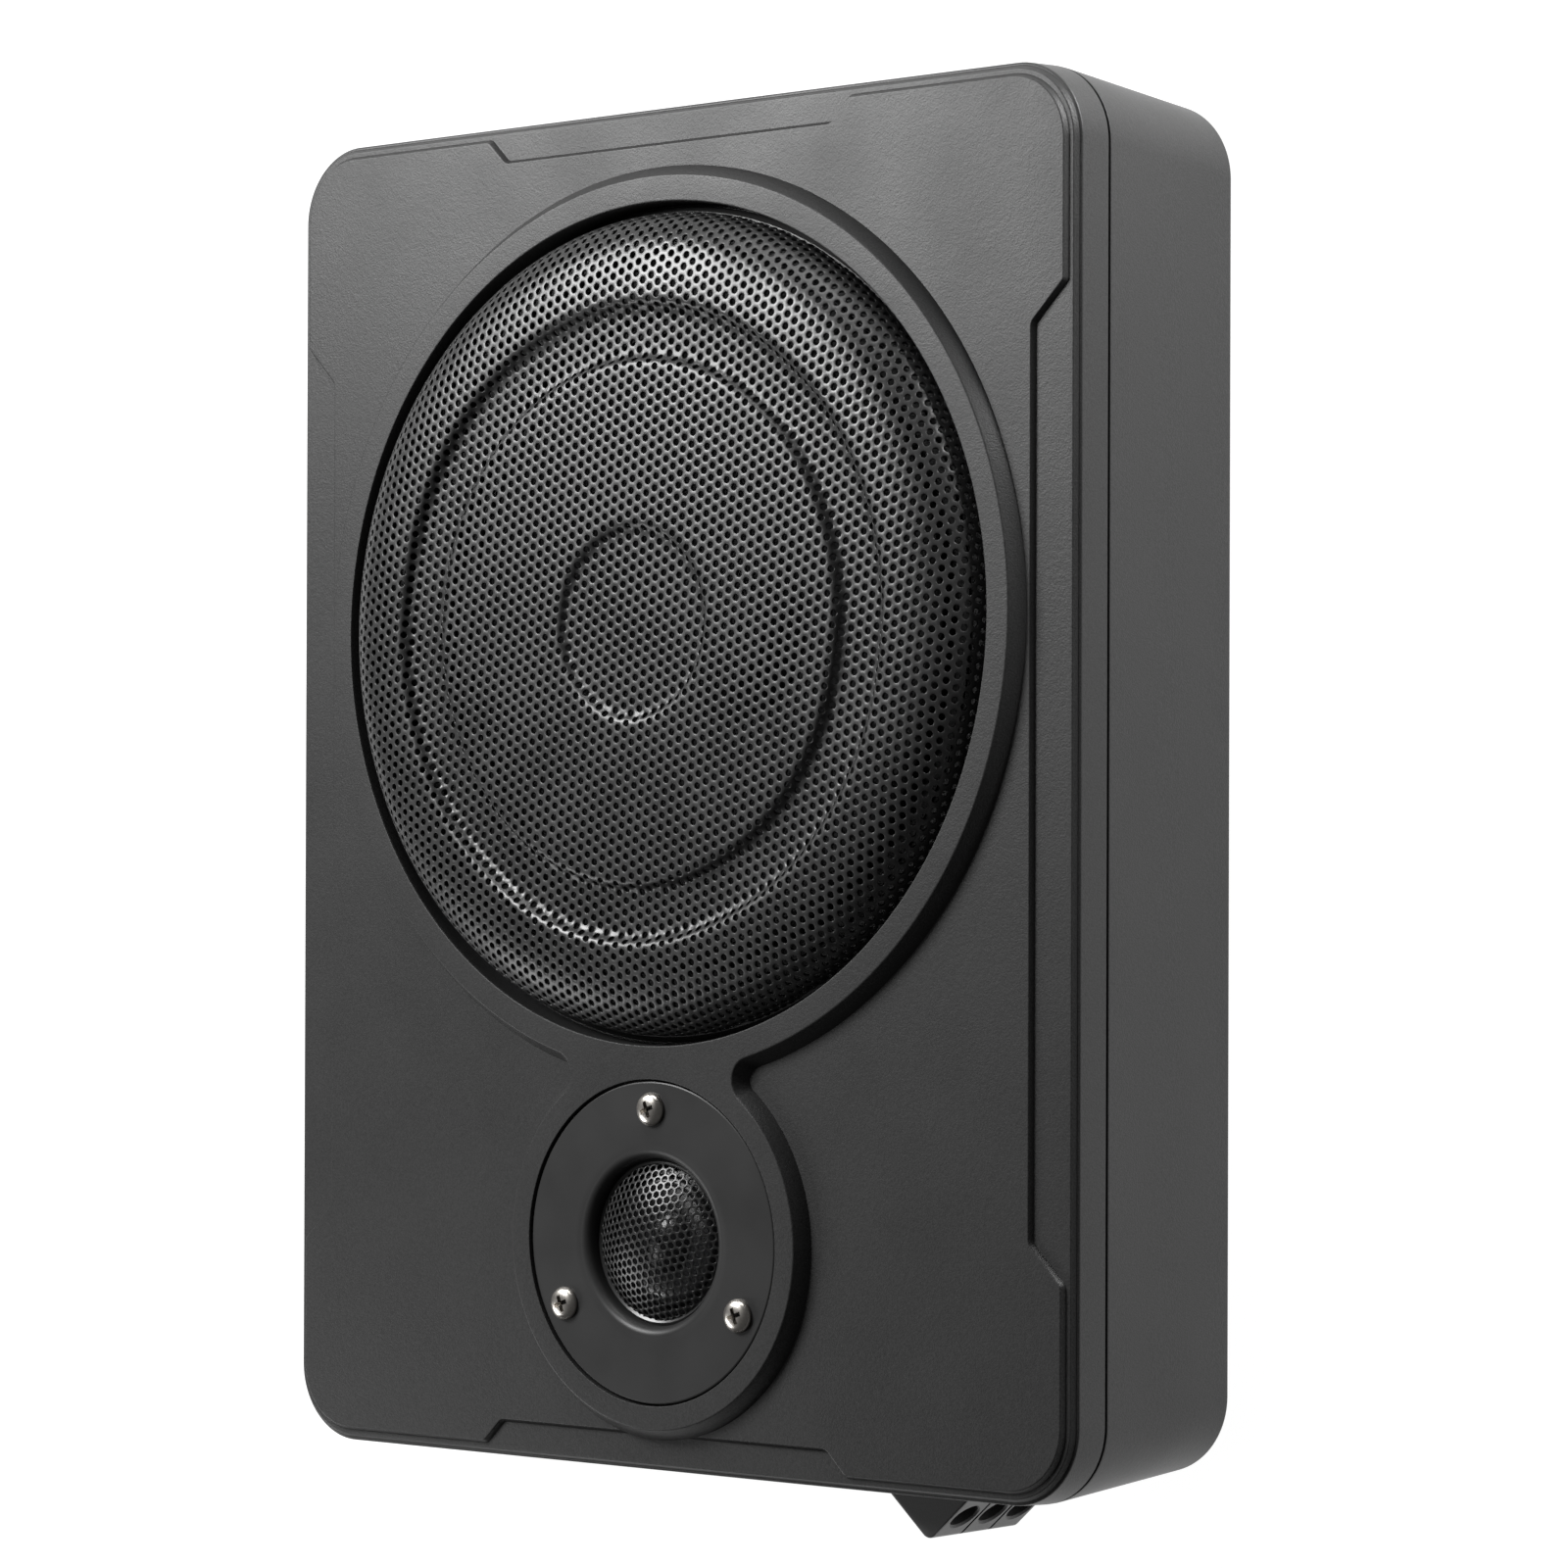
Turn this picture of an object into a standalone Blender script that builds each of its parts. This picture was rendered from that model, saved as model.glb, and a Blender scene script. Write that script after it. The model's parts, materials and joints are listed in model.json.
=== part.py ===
"""Slim powered car subwoofer: a shallow two-shell case with a grilled 8 inch woofer, a dome tweeter,
the amplifier behind them, a recessed control panel and a three-way wire terminal on one end.

The case lies on its back, as under a seat: +Z leaves the grille, +Y is the case's long axis, and the
controls and the terminal are on the -Y end. Everything hangs on the empty case_frame, whose origin is
the middle of the case, so that the world's origin is the bottom centre of the whole object.
"""

from math import atan2, cos, hypot, pi, radians, sin, sqrt

import bpy
from mathutils import Matrix, Vector

MM = 0.001
GAP = 0.3 * MM

# Case
WIDTH = 260 * MM
LENGTH = 345 * MM
CORNER = 20 * MM
WALL = 3 * MM
SIDE_DRAFT = 0.9 * MM
END_DRAFT = 3.4 * MM
FOOT_STANDS = 1.5 * MM
FLOOR_TOP = 4.5 * MM
REAR_TOP = 52.8 * MM
COVER_BOTTOM = 54 * MM
RIM_Z = 64 * MM
STEP = 1.3 * MM
LEDGE_Z = RIM_Z + STEP
PLATEAU_Z = RIM_Z + 2 * STEP
ROOF_UNDER = 62.2 * MM
STEP_INSETS = (1.3 * MM, 2.15 * MM, 3.35 * MM, 4.2 * MM)
SIDE_NOTCH = 9.6 * MM
SIDE_NOTCH_ENDS = (109 * MM, 118.6 * MM)
END_NOTCH = 6 * MM
END_NOTCH_ENDS = (54 * MM, 60 * MM)

# Raised figure-8 ring
RING_Z = 70.4 * MM
WOOFER_Y = 41.3 * MM
TWEETER_Y = -114.2 * MM
RING_R_BIG = 112.6 * MM
RING_R_SMALL = 47 * MM
RING_NECK_R = 6 * MM
RING_SLOPE = 2.8 * MM

# Woofer
OPENING_R = 106 * MM
SEAT_R = 96 * MM
SEAT_TOP = 62 * MM
SEAT_BOTTOM = 58.8 * MM
SEAT_OUTER_R = 110 * MM
WOOFER_SCREW_R = 100.5 * MM
WOOFER_TURNS = (45, 135, 225, 315)

# Tweeter
RECESS_R = 41 * MM
RECESS_Z = 67.4 * MM
HUB_R = 30.2 * MM
TWEETER_SCREW_R = 33.5 * MM
TWEETER_TURNS = (90, 210, 330)

# Fasteners and feet
CASE_SCREWS = [
    (112 * MM, 158 * MM),
    (-112 * MM, 158 * MM),
    (-119.5 * MM, -60 * MM),
    (119.5 * MM, -60 * MM),
    (-112 * MM, -158 * MM),
    (112 * MM, -158 * MM),
]
POST_R = 4.5 * MM
THREAD_R = 2 * MM
SINK_R = 3.9 * MM
SINK_TOP = 6.3 * MM
FEET = [(98 * MM, 142 * MM), (-98 * MM, 142 * MM), (-98 * MM, -142 * MM), (98 * MM, -142 * MM)]
FOOT_R = 9 * MM
FOOT_TOP = 3 * MM

# Control panel, sunk into the -Y end
PANEL_X = (-104 * MM, 56 * MM)
PANEL_Z = (11 * MM, 45 * MM)
PANEL_FRONT = -171.5 * MM
PANEL_FLOOR = -163.5 * MM
PANEL_BACK = -161.5 * MM
PANEL_WALL = 1.6 * MM
KNOB_X = {"gain_knob": -44 * MM, "crossover_knob": -24 * MM, "bass_boost_knob": -4 * MM}
KNOB_Z = 28 * MM
SHAFT_BORE_R = 1.9 * MM
SOCKET_FRONT = -171.3 * MM
SOCKET_BACK = PANEL_FLOOR - GAP
RCA_X = -92 * MM
RCA_Z = {"rca_socket_left": 35 * MM, "rca_socket_right": 21 * MM}
SWITCH_X = 34.7 * MM
SWITCH_Z = 33 * MM
SWITCH_TRAVEL = 2.8 * MM

# Wire terminal on the -Y end: a ridge along Z, wires in on its +X slope and screws on its -X slope
TERMINAL_X = 73.5 * MM
TERMINAL_HALF = 13.5 * MM
TERMINAL_BASE = -172.8 * MM
TERMINAL_TIP = -184.5 * MM
TERMINAL_BACK = -158 * MM
TERMINAL_Z = (16 * MM, 50 * MM)
WAYS = 3
WIRE_HOLE_R = 4 * MM
WIRE_HOLE_DEPTH = 15 * MM
CLAMP_HOLE_R = 2.6 * MM
CLAMP_SCREW_R = 2.2 * MM

# Amplifier
BOARD_X = 100 * MM
BOARD_Y = (-156 * MM, -85 * MM)
BOARD_Z = (10 * MM, 11.6 * MM)
PARTS_Z = BOARD_Z[1] + GAP

for stale in list(bpy.data.objects):
    bpy.data.objects.remove(stale)

case_frame = bpy.data.objects.new("case_frame", None)
case_frame.location = (0, -(TERMINAL_TIP + LENGTH / 2) / 2, 0)
bpy.context.scene.collection.objects.link(case_frame)

FINISHES = {
    "cover_paint": ((0.075, 0.075, 0.075), 0.5, 0.3),
    "housing_paint": ((0.075, 0.075, 0.075), 0.5, 0.3),
    "grille_paint": ((0.06, 0.06, 0.06), 0.35, 0.4),
    "black_plastic": ((0.012, 0.012, 0.012), 0.4, 0.0),
    "satin_plastic": ((0.02, 0.02, 0.02), 0.3, 0.0),
    "rubber": ((0.01, 0.01, 0.01), 0.8, 0.0),
    "foam": ((0.02, 0.02, 0.02), 0.95, 0.0),
    "nickel": ((0.62, 0.6, 0.56), 0.25, 1.0),
    "zinc": ((0.35, 0.35, 0.37), 0.4, 1.0),
    "brass": ((0.72, 0.52, 0.22), 0.35, 1.0),
    "gold": ((0.85, 0.6, 0.2), 0.25, 1.0),
    "cast_steel": ((0.16, 0.16, 0.17), 0.5, 0.8),
    "ferrite": ((0.05, 0.05, 0.055), 0.7, 0.2),
    "pulp_cone": ((0.02, 0.02, 0.022), 0.7, 0.0),
    "spider_cloth": ((0.5, 0.36, 0.12), 0.9, 0.0),
    "copper": ((0.72, 0.33, 0.14), 0.35, 1.0),
    "silk": ((0.03, 0.03, 0.035), 0.3, 0.0),
    "circuit_board": ((0.02, 0.16, 0.06), 0.5, 0.0),
    "aluminium": ((0.6, 0.6, 0.62), 0.35, 1.0),
    "led_blue": ((0.05, 0.25, 0.9), 0.2, 0.0),
    "fuse_blue": ((0.05, 0.2, 0.75), 0.25, 0.0),
}


def material(slot):
    """The Principled material of a finish, made once."""
    if slot in bpy.data.materials:
        return bpy.data.materials[slot]
    made = bpy.data.materials.new(slot)
    made.use_nodes = True
    shader = made.node_tree.nodes["Principled BSDF"]
    colour, roughness, metallic = FINISHES[slot]
    shader.inputs["Base Color"].default_value = (*colour, 1)
    shader.inputs["Roughness"].default_value = roughness
    shader.inputs["Metallic"].default_value = metallic
    made.diffuse_color = (*colour, 1)
    return made


def add(name, slot, verts, faces, at=(0, 0, 0), turn=None):
    """A named mesh on the case frame, with slot None for a cutter or a shape to be joined."""
    mesh = bpy.data.meshes.new(name)
    mesh.from_pydata([tuple(v) for v in verts], [], faces)
    obj = bpy.data.objects.new(name, mesh)
    obj.parent = case_frame
    obj.location = at
    if turn is not None:
        obj.rotation_mode = "QUATERNION"
        obj.rotation_quaternion = turn
    bpy.context.scene.collection.objects.link(obj)
    if slot is None:
        obj.hide_render = True
        obj.display_type = "WIRE"
    else:
        mesh.materials.append(material(slot))
        mesh.shade_smooth()
        mesh.set_sharp_from_angle(angle=radians(35))
    return obj


def stacked(name, slot, rings, at=(0, 0, 0), turn=None, closed=False):
    """A body through rings of equally many points, bottom ring first, capped or closed into a loop."""
    count = len(rings[0])
    verts = [point for ring in rings for point in ring]
    faces = []
    for k in range(len(rings) if closed else len(rings) - 1):
        low, high = k * count, (k + 1) % len(rings) * count
        for i in range(count):
            j = (i + 1) % count
            faces.append((low + i, low + j, high + j, high + i))
    if not closed:
        faces.append(tuple(reversed(range(count))))
        faces.append(tuple(range((len(rings) - 1) * count, len(rings) * count)))
    return add(name, slot, verts, faces, at, turn)


def at_height(outline, z):
    return [(x, y, z) for x, y in outline]


def prism(name, slot, outline, bottom, top, at=(0, 0, 0), turn=None):
    return stacked(name, slot, [at_height(outline, bottom), at_height(outline, top)], at, turn)


def circle(radius, z, segments, phase=0):
    turns = [2 * pi * (i + phase) / segments for i in range(segments)]
    return [(radius * cos(a), radius * sin(a), z) for a in turns]


def turned(name, slot, profile, segments=32, at=(0, 0, 0), turn=None, closed=False):
    """A turned body about its own Z axis from (radius, height) pairs in millimetres, outer side upwards."""
    rings = [circle(r * MM, z * MM, segments) for r, z in profile]
    return stacked(name, slot, rings, at, turn, closed)


def block(name, slot, low, high):
    (x0, y0, z0), (x1, y1, z1) = low, high
    return prism(name, slot, [(x0, y0), (x1, y0), (x1, y1), (x0, y1)], z0, z1)


def round_rect(width, length, radius, steps=5):
    """A rounded rectangle's outline, anticlockwise, about the origin."""
    points = []
    for quarter, (sx, sy) in enumerate(((1, 1), (-1, 1), (-1, -1), (1, -1))):
        for i in range(steps + 1):
            a = (quarter + i / steps) * pi / 2
            x = sx * (width / 2 - radius) + radius * cos(a)
            points.append((x, sy * (length / 2 - radius) + radius * sin(a)))
    return points


def case_outline(inset):
    return round_rect(WIDTH - 2 * inset, LENGTH - 2 * inset, CORNER - inset)


def tray_outline(inset, share):
    """The case outline moved in by inset, and by share of the tray's draft."""
    width = WIDTH - 2 * (inset + share * SIDE_DRAFT)
    length = LENGTH - 2 * (inset + share * END_DRAFT)
    return round_rect(width, length, CORNER - inset)


def notched_outline(inset):
    """The case outline moved in by inset, with its four sides cut back between slanted ends."""
    half_x, half_y = WIDTH / 2 - inset, LENGTH / 2 - inset
    spread = (inset - STEP_INSETS[2]) * (sqrt(2) - 1)
    inner_y, outer_y = (y + spread for y in SIDE_NOTCH_ENDS)
    inner_x, outer_x = (x + spread for x in END_NOTCH_ENDS)
    corners = case_outline(inset)
    quarter = len(corners) // 4
    cut_x, cut_y = half_x - SIDE_NOTCH, half_y - END_NOTCH
    top = [(outer_x, half_y), (inner_x, cut_y), (-inner_x, cut_y), (-outer_x, half_y)]
    left = [(-half_x, outer_y), (-cut_x, inner_y), (-cut_x, -inner_y), (-half_x, -outer_y)]
    bottom = [(-outer_x, -half_y), (-inner_x, -cut_y), (inner_x, -cut_y), (outer_x, -half_y)]
    right = [(half_x, -outer_y), (cut_x, -inner_y), (cut_x, inner_y), (half_x, outer_y)]
    points = []
    for k, side in enumerate((top, left, bottom, right)):
        points += corners[k * quarter : (k + 1) * quarter] + side
    return points


def figure_eight(grow):
    """The outline round both drivers, grown outwards by grow, with hollow fillets at its neck."""
    big, small, neck = RING_R_BIG + grow, RING_R_SMALL + grow, RING_NECK_R - grow
    apart = WOOFER_Y - TWEETER_Y
    along = (apart**2 + (big + neck) ** 2 - (small + neck) ** 2) / (2 * apart)
    neck_x, neck_y = sqrt((big + neck) ** 2 - along**2), WOOFER_Y - along
    to_big = atan2(neck_y - WOOFER_Y, neck_x)
    to_small = atan2(neck_y - TWEETER_Y, neck_x)

    def arc(x, y, radius, start, end, steps):
        turns = [start + (end - start) * i / steps for i in range(steps + 1)]
        return [(x + radius * cos(a), y + radius * sin(a)) for a in turns]

    over = arc(0, WOOFER_Y, big, to_big, pi - to_big, 44)
    left_neck = arc(-neck_x, neck_y, neck, -to_big, -to_small, 4)[1:-1]
    under = arc(0, TWEETER_Y, small, pi - to_small, 2 * pi + to_small, 18)
    right_neck = arc(neck_x, neck_y, neck, pi + to_small, pi + to_big, 4)[1:-1]
    return over + left_neck + under + right_neck


def combine(obj, others, operation):
    for other in others:
        modifier = obj.modifiers.new(f"{operation.lower()}_{other.name}", "BOOLEAN")
        modifier.operation = operation
        modifier.object = other
        modifier.solver = "EXACT"


def cut(obj, *others):
    combine(obj, others, "DIFFERENCE")


def join(obj, *others):
    combine(obj, others, "UNION")


def polar(radius, degrees, centre_y):
    return radius * cos(radians(degrees)), centre_y + radius * sin(radians(degrees))


def drill(name, radius, bottom, top, x, y, segments=12):
    """A round cutter or post along Z."""
    rings = [circle(radius, z, segments, phase=0.37) for z in (bottom, top)]
    return stacked(name, None, rings, at=(x, y, 0))


def facing_end():
    """Turns a body made along +Z so that its top faces -Y."""
    return Matrix.Rotation(radians(90), 4, "X").to_quaternion()


def front_cover():
    """The painted front shell: stepped rim, notched plateau, figure-8 ring, woofer opening and recess."""
    lip = 0.6 * MM
    outline = [at_height(case_outline(0), COVER_BOTTOM), at_height(case_outline(0), RIM_Z - lip)]
    outline += [at_height(case_outline(lip), RIM_Z), at_height(case_outline(STEP_INSETS[0]), RIM_Z)]
    outline += [at_height(case_outline(STEP_INSETS[1]), LEDGE_Z)]
    cover = stacked("front_cover", "cover_paint", outline)
    plateau = stacked(
        "cover_plateau",
        None,
        [
            at_height(notched_outline(STEP_INSETS[2]), LEDGE_Z - STEP),
            at_height(notched_outline(STEP_INSETS[2]), LEDGE_Z),
            at_height(notched_outline(STEP_INSETS[3]), PLATEAU_Z),
        ],
    )
    ring = stacked(
        "cover_ring",
        None,
        [
            at_height(figure_eight(RING_SLOPE), PLATEAU_Z - STEP),
            at_height(figure_eight(RING_SLOPE), PLATEAU_Z),
            at_height(figure_eight(0), RING_Z),
        ],
    )
    hollow = prism("cover_hollow", None, case_outline(WALL), COVER_BOTTOM - WALL, ROOF_UNDER)
    seat = drill("woofer_seat", SEAT_OUTER_R, SEAT_BOTTOM, ROOF_UNDER + STEP, 0, WOOFER_Y, 40)
    join(cover, plateau, ring)
    cut(cover, hollow)
    join(cover, seat)
    for i, (x, y) in enumerate(CASE_SCREWS):
        join(cover, drill(f"cover_post_{i}", POST_R, COVER_BOTTOM + STEP, RIM_Z - STEP, x, y))
    cut(cover, drill("woofer_mouth", SEAT_R, SEAT_BOTTOM - WALL, RING_Z + WALL, 0, WOOFER_Y, 40))
    cut(cover, drill("grille_opening", OPENING_R, SEAT_TOP, RING_Z + WALL, 0, WOOFER_Y, 48))
    cut(cover, drill("tweeter_recess", RECESS_R, RECESS_Z, RING_Z + WALL, 0, TWEETER_Y, 36))
    cut(cover, drill("tweeter_hole", HUB_R + 0.8 * MM, ROOF_UNDER - WALL, RING_Z, 0, TWEETER_Y, 32))
    for i, (x, y) in enumerate(CASE_SCREWS):
        cut(cover, drill(f"cover_thread_{i}", THREAD_R, COVER_BOTTOM, RIM_Z - WALL, x, y, 8))
    for turn in TWEETER_TURNS:
        x, y = polar(TWEETER_SCREW_R, turn, TWEETER_Y)
        cut(cover, drill(f"tweeter_thread_{turn}", 1.9 * MM, ROOF_UNDER - WALL, RING_Z, x, y, 8))
    for turn in WOOFER_TURNS:
        x, y = polar(WOOFER_SCREW_R, turn, WOOFER_Y)
        cut(cover, drill(f"woofer_thread_{turn}", THREAD_R, SEAT_BOTTOM - WALL, SEAT_TOP - MM, x, y, 8))


def rear_housing():
    """The tray behind the cover, drafted towards its back, with its posts and the openings in its -Y end."""
    edge = 1.4 * MM
    housing = stacked(
        "rear_housing",
        "housing_paint",
        [
            at_height(tray_outline(edge, 1), FOOT_STANDS),
            at_height(tray_outline(edge / 3.4, 1), FOOT_STANDS + edge / 3.4),
            at_height(tray_outline(0, 1), FOOT_STANDS + edge),
            at_height(tray_outline(0, 0), REAR_TOP),
        ],
    )
    cut(housing, stacked(
        "housing_hollow",
        None,
        [at_height(tray_outline(WALL, 1), FLOOR_TOP), at_height(tray_outline(WALL, 0), REAR_TOP + WALL)],
    ))
    for i, (x, y) in enumerate(CASE_SCREWS):
        join(housing, drill(f"housing_post_{i}", POST_R, FLOOR_TOP - MM, REAR_TOP - MM, x, y))
    for i, x in enumerate((-94 * MM, 94 * MM)):
        for j, y in enumerate((-149 * MM, -91 * MM)):
            join(housing, drill(f"board_post_{i}_{j}", 3 * MM, FLOOR_TOP - MM, BOARD_Z[0] - GAP, x, y, 8))
    for i, (x, y) in enumerate(CASE_SCREWS):
        cut(housing, drill(f"housing_bore_{i}", 2.1 * MM, 0, REAR_TOP + WALL, x, y, 8))
        cut(housing, drill(f"housing_sink_{i}", SINK_R, 0, SINK_TOP, x, y, 8))
    for i, (x, y) in enumerate(FEET):
        cut(housing, drill(f"foot_pocket_{i}", FOOT_R + GAP * 1.5, 0, FOOT_TOP + GAP, x, y, 20))
    cut(housing, block(
        "panel_window",
        None,
        (PANEL_X[0] - GAP, PANEL_FRONT - 5 * MM, PANEL_Z[0] - GAP),
        (PANEL_X[1] + GAP, PANEL_BACK, PANEL_Z[1] + GAP),
    ))
    side = TERMINAL_HALF - MM + GAP
    cut(housing, block(
        "terminal_window",
        None,
        (TERMINAL_X - side, TERMINAL_BASE - 5 * MM, TERMINAL_Z[0] - GAP),
        (TERMINAL_X + side, TERMINAL_BACK, TERMINAL_Z[1] + GAP),
    ))


def case_trim():
    """Seal between the shells, case screws and feet."""
    outer, inner = case_outline(1.2 * MM), case_outline(WALL - GAP)
    low, high = REAR_TOP + GAP, COVER_BOTTOM - GAP
    rings = [at_height(outer, low), at_height(outer, high), at_height(inner, high), at_height(inner, low)]
    stacked("case_seal", "foam", rings, closed=True)
    for i, (x, y) in enumerate(CASE_SCREWS):
        profile = [(3.4, 3), (3.4, 5.7), (1.6, 6), (1.6, 60.4)]
        turned(f"case_screw_{i + 1}", "zinc", profile, 10, at=(x, y, 0))
    for i, (x, y) in enumerate(FEET):
        turned(f"foot_{i + 1}", "rubber", [(8.4, 0), (9, 0.6), (9, 3)], 20, at=(x, y, 0))


def woofer():
    """The woofer under its dished grille. The moving pieces have their origin on the woofer's axis."""
    centre = (0, WOOFER_Y, 0)
    under = [(23, 76), (24.4, 77.1), (65.4, 76.9), (67, 75), (78.7, 75), (80.4, 76.9), (88, 76.7)]
    under += [(94.4, 75.7), (99.6, 72.9), (102.4, 68.4), (103, 62.3)]
    over = [(105.4, 62.3), (105.4, 63.3), (104, 63.5), (103.5, 68.6), (100.5, 73.6), (94.8, 76.7)]
    over += [(88.2, 77.7), (80, 77.9), (78.2, 76), (67.6, 76), (66, 77.9), (25, 78.1), (23.4, 77)]
    turned("woofer_grille", "grille_paint", under + over, 40, at=centre)

    bowl = [(30, 27.4), (55, 27.4), (58, 31), (89, 54.3), (105, 54.3), (105, 57.3)]
    bowl += [(87, 57.3), (55, 34.5), (46, 34.5), (46, 31), (30, 31)]
    basket = turned("woofer_basket", "cast_steel", bowl, 40, at=centre, closed=True)
    for k in range(6):
        spin = Matrix.Rotation(radians(60 * k), 4, "Z").to_quaternion()
        outline = [(62 * MM, -13 * MM), (81 * MM, -17 * MM), (81 * MM, 17 * MM), (62 * MM, 13 * MM)]
        cut(basket, prism(f"basket_window_{k}", None, outline, 28 * MM, 56 * MM, at=centre, turn=spin))
    seal = [(93, 57.6), (105, 57.6), (105, 58.5), (93, 58.5)]
    gasket = turned("woofer_gasket", "foam", seal, 40, at=centre, closed=True)
    for i, turn in enumerate(WOOFER_TURNS):
        x, y = polar(WOOFER_SCREW_R, turn, WOOFER_Y)
        bore = drill(f"flange_bore_{turn}", THREAD_R, 50 * MM, 60 * MM, x, y, 8)
        cut(basket, bore)
        cut(gasket, bore)
        profile = [(3.4, 51.5), (3.4, 53.9), (1.6, 54), (1.6, 60.6)]
        turned(f"woofer_screw_{i + 1}", "zinc", profile, 10, at=(x, y, 0))

    turned("woofer_yoke", "zinc", [(52, 5), (52, 9.7), (17.8, 9.7), (17.8, 27)], 32, at=centre)
    turned("woofer_magnet", "ferrite", [(25, 10), (55, 10), (55, 22.1), (25, 22.1)], 32, at=centre, closed=True)
    plate = [(20.6, 22.4), (50, 22.4), (50, 27.1), (20.6, 27.1)]
    turned("woofer_top_plate", "zinc", plate, 32, at=centre, closed=True)

    coil = [(18.6, 18), (19.8, 18), (19.8, 36.2), (18.6, 36.2)]
    turned("voice_coil", "copper", coil, 24, at=centre, closed=True)
    cone = [(20.5, 35.6), (78, 56.2), (79, 57.3), (74, 57.3), (20.5, 36.9)]
    turned("woofer_cone", "pulp_cone", cone, 36, at=centre, closed=True)
    cap = [(5, 46), (14, 44.2), (21.5, 38.7), (23.4, 38.7), (15, 45.4), (5, 47.2)]
    turned("dust_cap", "pulp_cone", cap, 24, at=centre)

    roll = [(75, 57.6), (79.4, 57.6), (80.8, 60.9), (83.2, 62.2), (85.6, 60.9), (87, 57.6), (92.3, 57.6)]
    roll += [(92.3, 58.4), (87.8, 58.4), (86.2, 61.6), (83.2, 63.2), (80.2, 61.6), (78.6, 58.4), (75, 58.4)]
    turned("woofer_surround", "rubber", roll, 32, at=centre, closed=True)
    web = [(20.2 + 6.3 * k, 31.4 + 0.8 * (k % 2)) for k in range(5)]
    rings = web + [(r, z + 0.6) for r, z in reversed(web)]
    turned("woofer_spider", "spider_cloth", rings, 24, at=centre, closed=True)


def tweeter():
    """The tweeter and its round faceplate, held by three screws."""
    centre = (0, TWEETER_Y, 0)
    plate = [(21.8, 61.6), (30.2, 61.6), (30.2, 67.7), (40.4, 67.7), (40.4, 70), (40.1, 70.2), (24.6, 70.2)]
    plate += [(23.2, 70.8), (22, 70), (21.2, 68), (21, 65.4), (21.8, 64)]
    faceplate = turned("tweeter_faceplate", "satin_plastic", plate, 36, at=centre, closed=True)
    for i, turn in enumerate(TWEETER_TURNS):
        x, y = polar(TWEETER_SCREW_R, turn, TWEETER_Y)
        cut(faceplate, drill(f"plate_bore_{turn}", 2 * MM, 66 * MM, 72 * MM, x, y, 8))
        head = [(1.6, 60.8), (1.6, 70.4), (4.4, 70.5), (4.3, 71.3), (3.2, 72.3), (1.6, 72.8)]
        turned(f"tweeter_screw_{i + 1}", "nickel", head, 16, at=(x, y, 0))
    dome = [(4, 71.4), (11, 70), (17, 67.2), (19.2, 65.6), (20.4, 65.6), (17.9, 67.9), (11.5, 71), (4, 72.4)]
    turned("tweeter_mesh", "grille_paint", dome, 24, at=centre)
    silk = [(4, 65.6), (9, 64.4), (12, 62), (12, 56), (12.9, 56), (12.9, 62), (21.2, 62), (21.2, 62.6)]
    silk += [(12.9, 62.6), (9.7, 65.2), (4, 66.4)]
    turned("tweeter_dome", "silk", silk, 24, at=centre)
    motor = [(27, 44), (27, 61.2), (13.6, 61.2), (13.6, 54), (11.4, 54), (11.4, 61.1)]
    turned("tweeter_magnet", "ferrite", motor, 28, at=centre)


def amplifier():
    """The board, its heat sink and large parts, and the leads to both drivers."""
    low, high = (-BOARD_X, BOARD_Y[0], BOARD_Z[0]), (BOARD_X, BOARD_Y[1], BOARD_Z[1])
    board = block("amplifier_board", "circuit_board", low, high)
    for name, x in KNOB_X.items():
        low = (x - 6 * MM, BOARD_Y[0] - 1.5 * MM, BOARD_Z[0] + 0.5 * MM)
        join(board, block(f"pot_of_{name}", None, low, (x + 6 * MM, BOARD_Y[0] + 7 * MM, 34 * MM)))
    outline = [(-45 * MM, -96 * MM), (45 * MM, -96 * MM)]
    for k in range(9, 0, -1):
        right = 10 * k - 45
        fin = [(right, -86), (right - 3, -86), (right - 3, -92), (right - 10, -92)]
        outline += [(x * MM, y * MM) for x, y in fin]
    prism("heat_sink", "aluminium", outline, PARTS_Z, 30 * MM)
    for i, x in enumerate((62 * MM, 84 * MM)):
        can = [(8.6, 12.2), (9, 12.6), (9, 37.4), (8.4, 38)]
        turned(f"capacitor_{i + 1}", "satin_plastic", can, 16, at=(x, -112 * MM, 0))
    lead("woofer_lead", [(-70, -92, 13.6), (-68, -84, 19), (-60, -66, 29), (-50, -46, 38), (-43, -32, 44)])
    lead("tweeter_lead", [(26, -142, 13.6), (29, -137, 20), (27, -130, 30), (21, -124, 38), (15, -120, 41.8)])


def lead(name, route):
    """A wire through route, given in millimetres."""
    curve = bpy.data.curves.new(name, "CURVE")
    curve.dimensions = "3D"
    curve.bevel_depth = 1.2 * MM
    curve.bevel_resolution = 1
    curve.use_fill_caps = True
    spline = curve.splines.new("POLY")
    spline.points.add(len(route) - 1)
    for point, (x, y, z) in zip(spline.points, route):
        point.co = (x * MM, y * MM, z * MM, 1)
    curve.materials.append(material("rubber"))
    obj = bpy.data.objects.new(name, curve)
    obj.parent = case_frame
    bpy.context.scene.collection.objects.link(obj)


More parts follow.
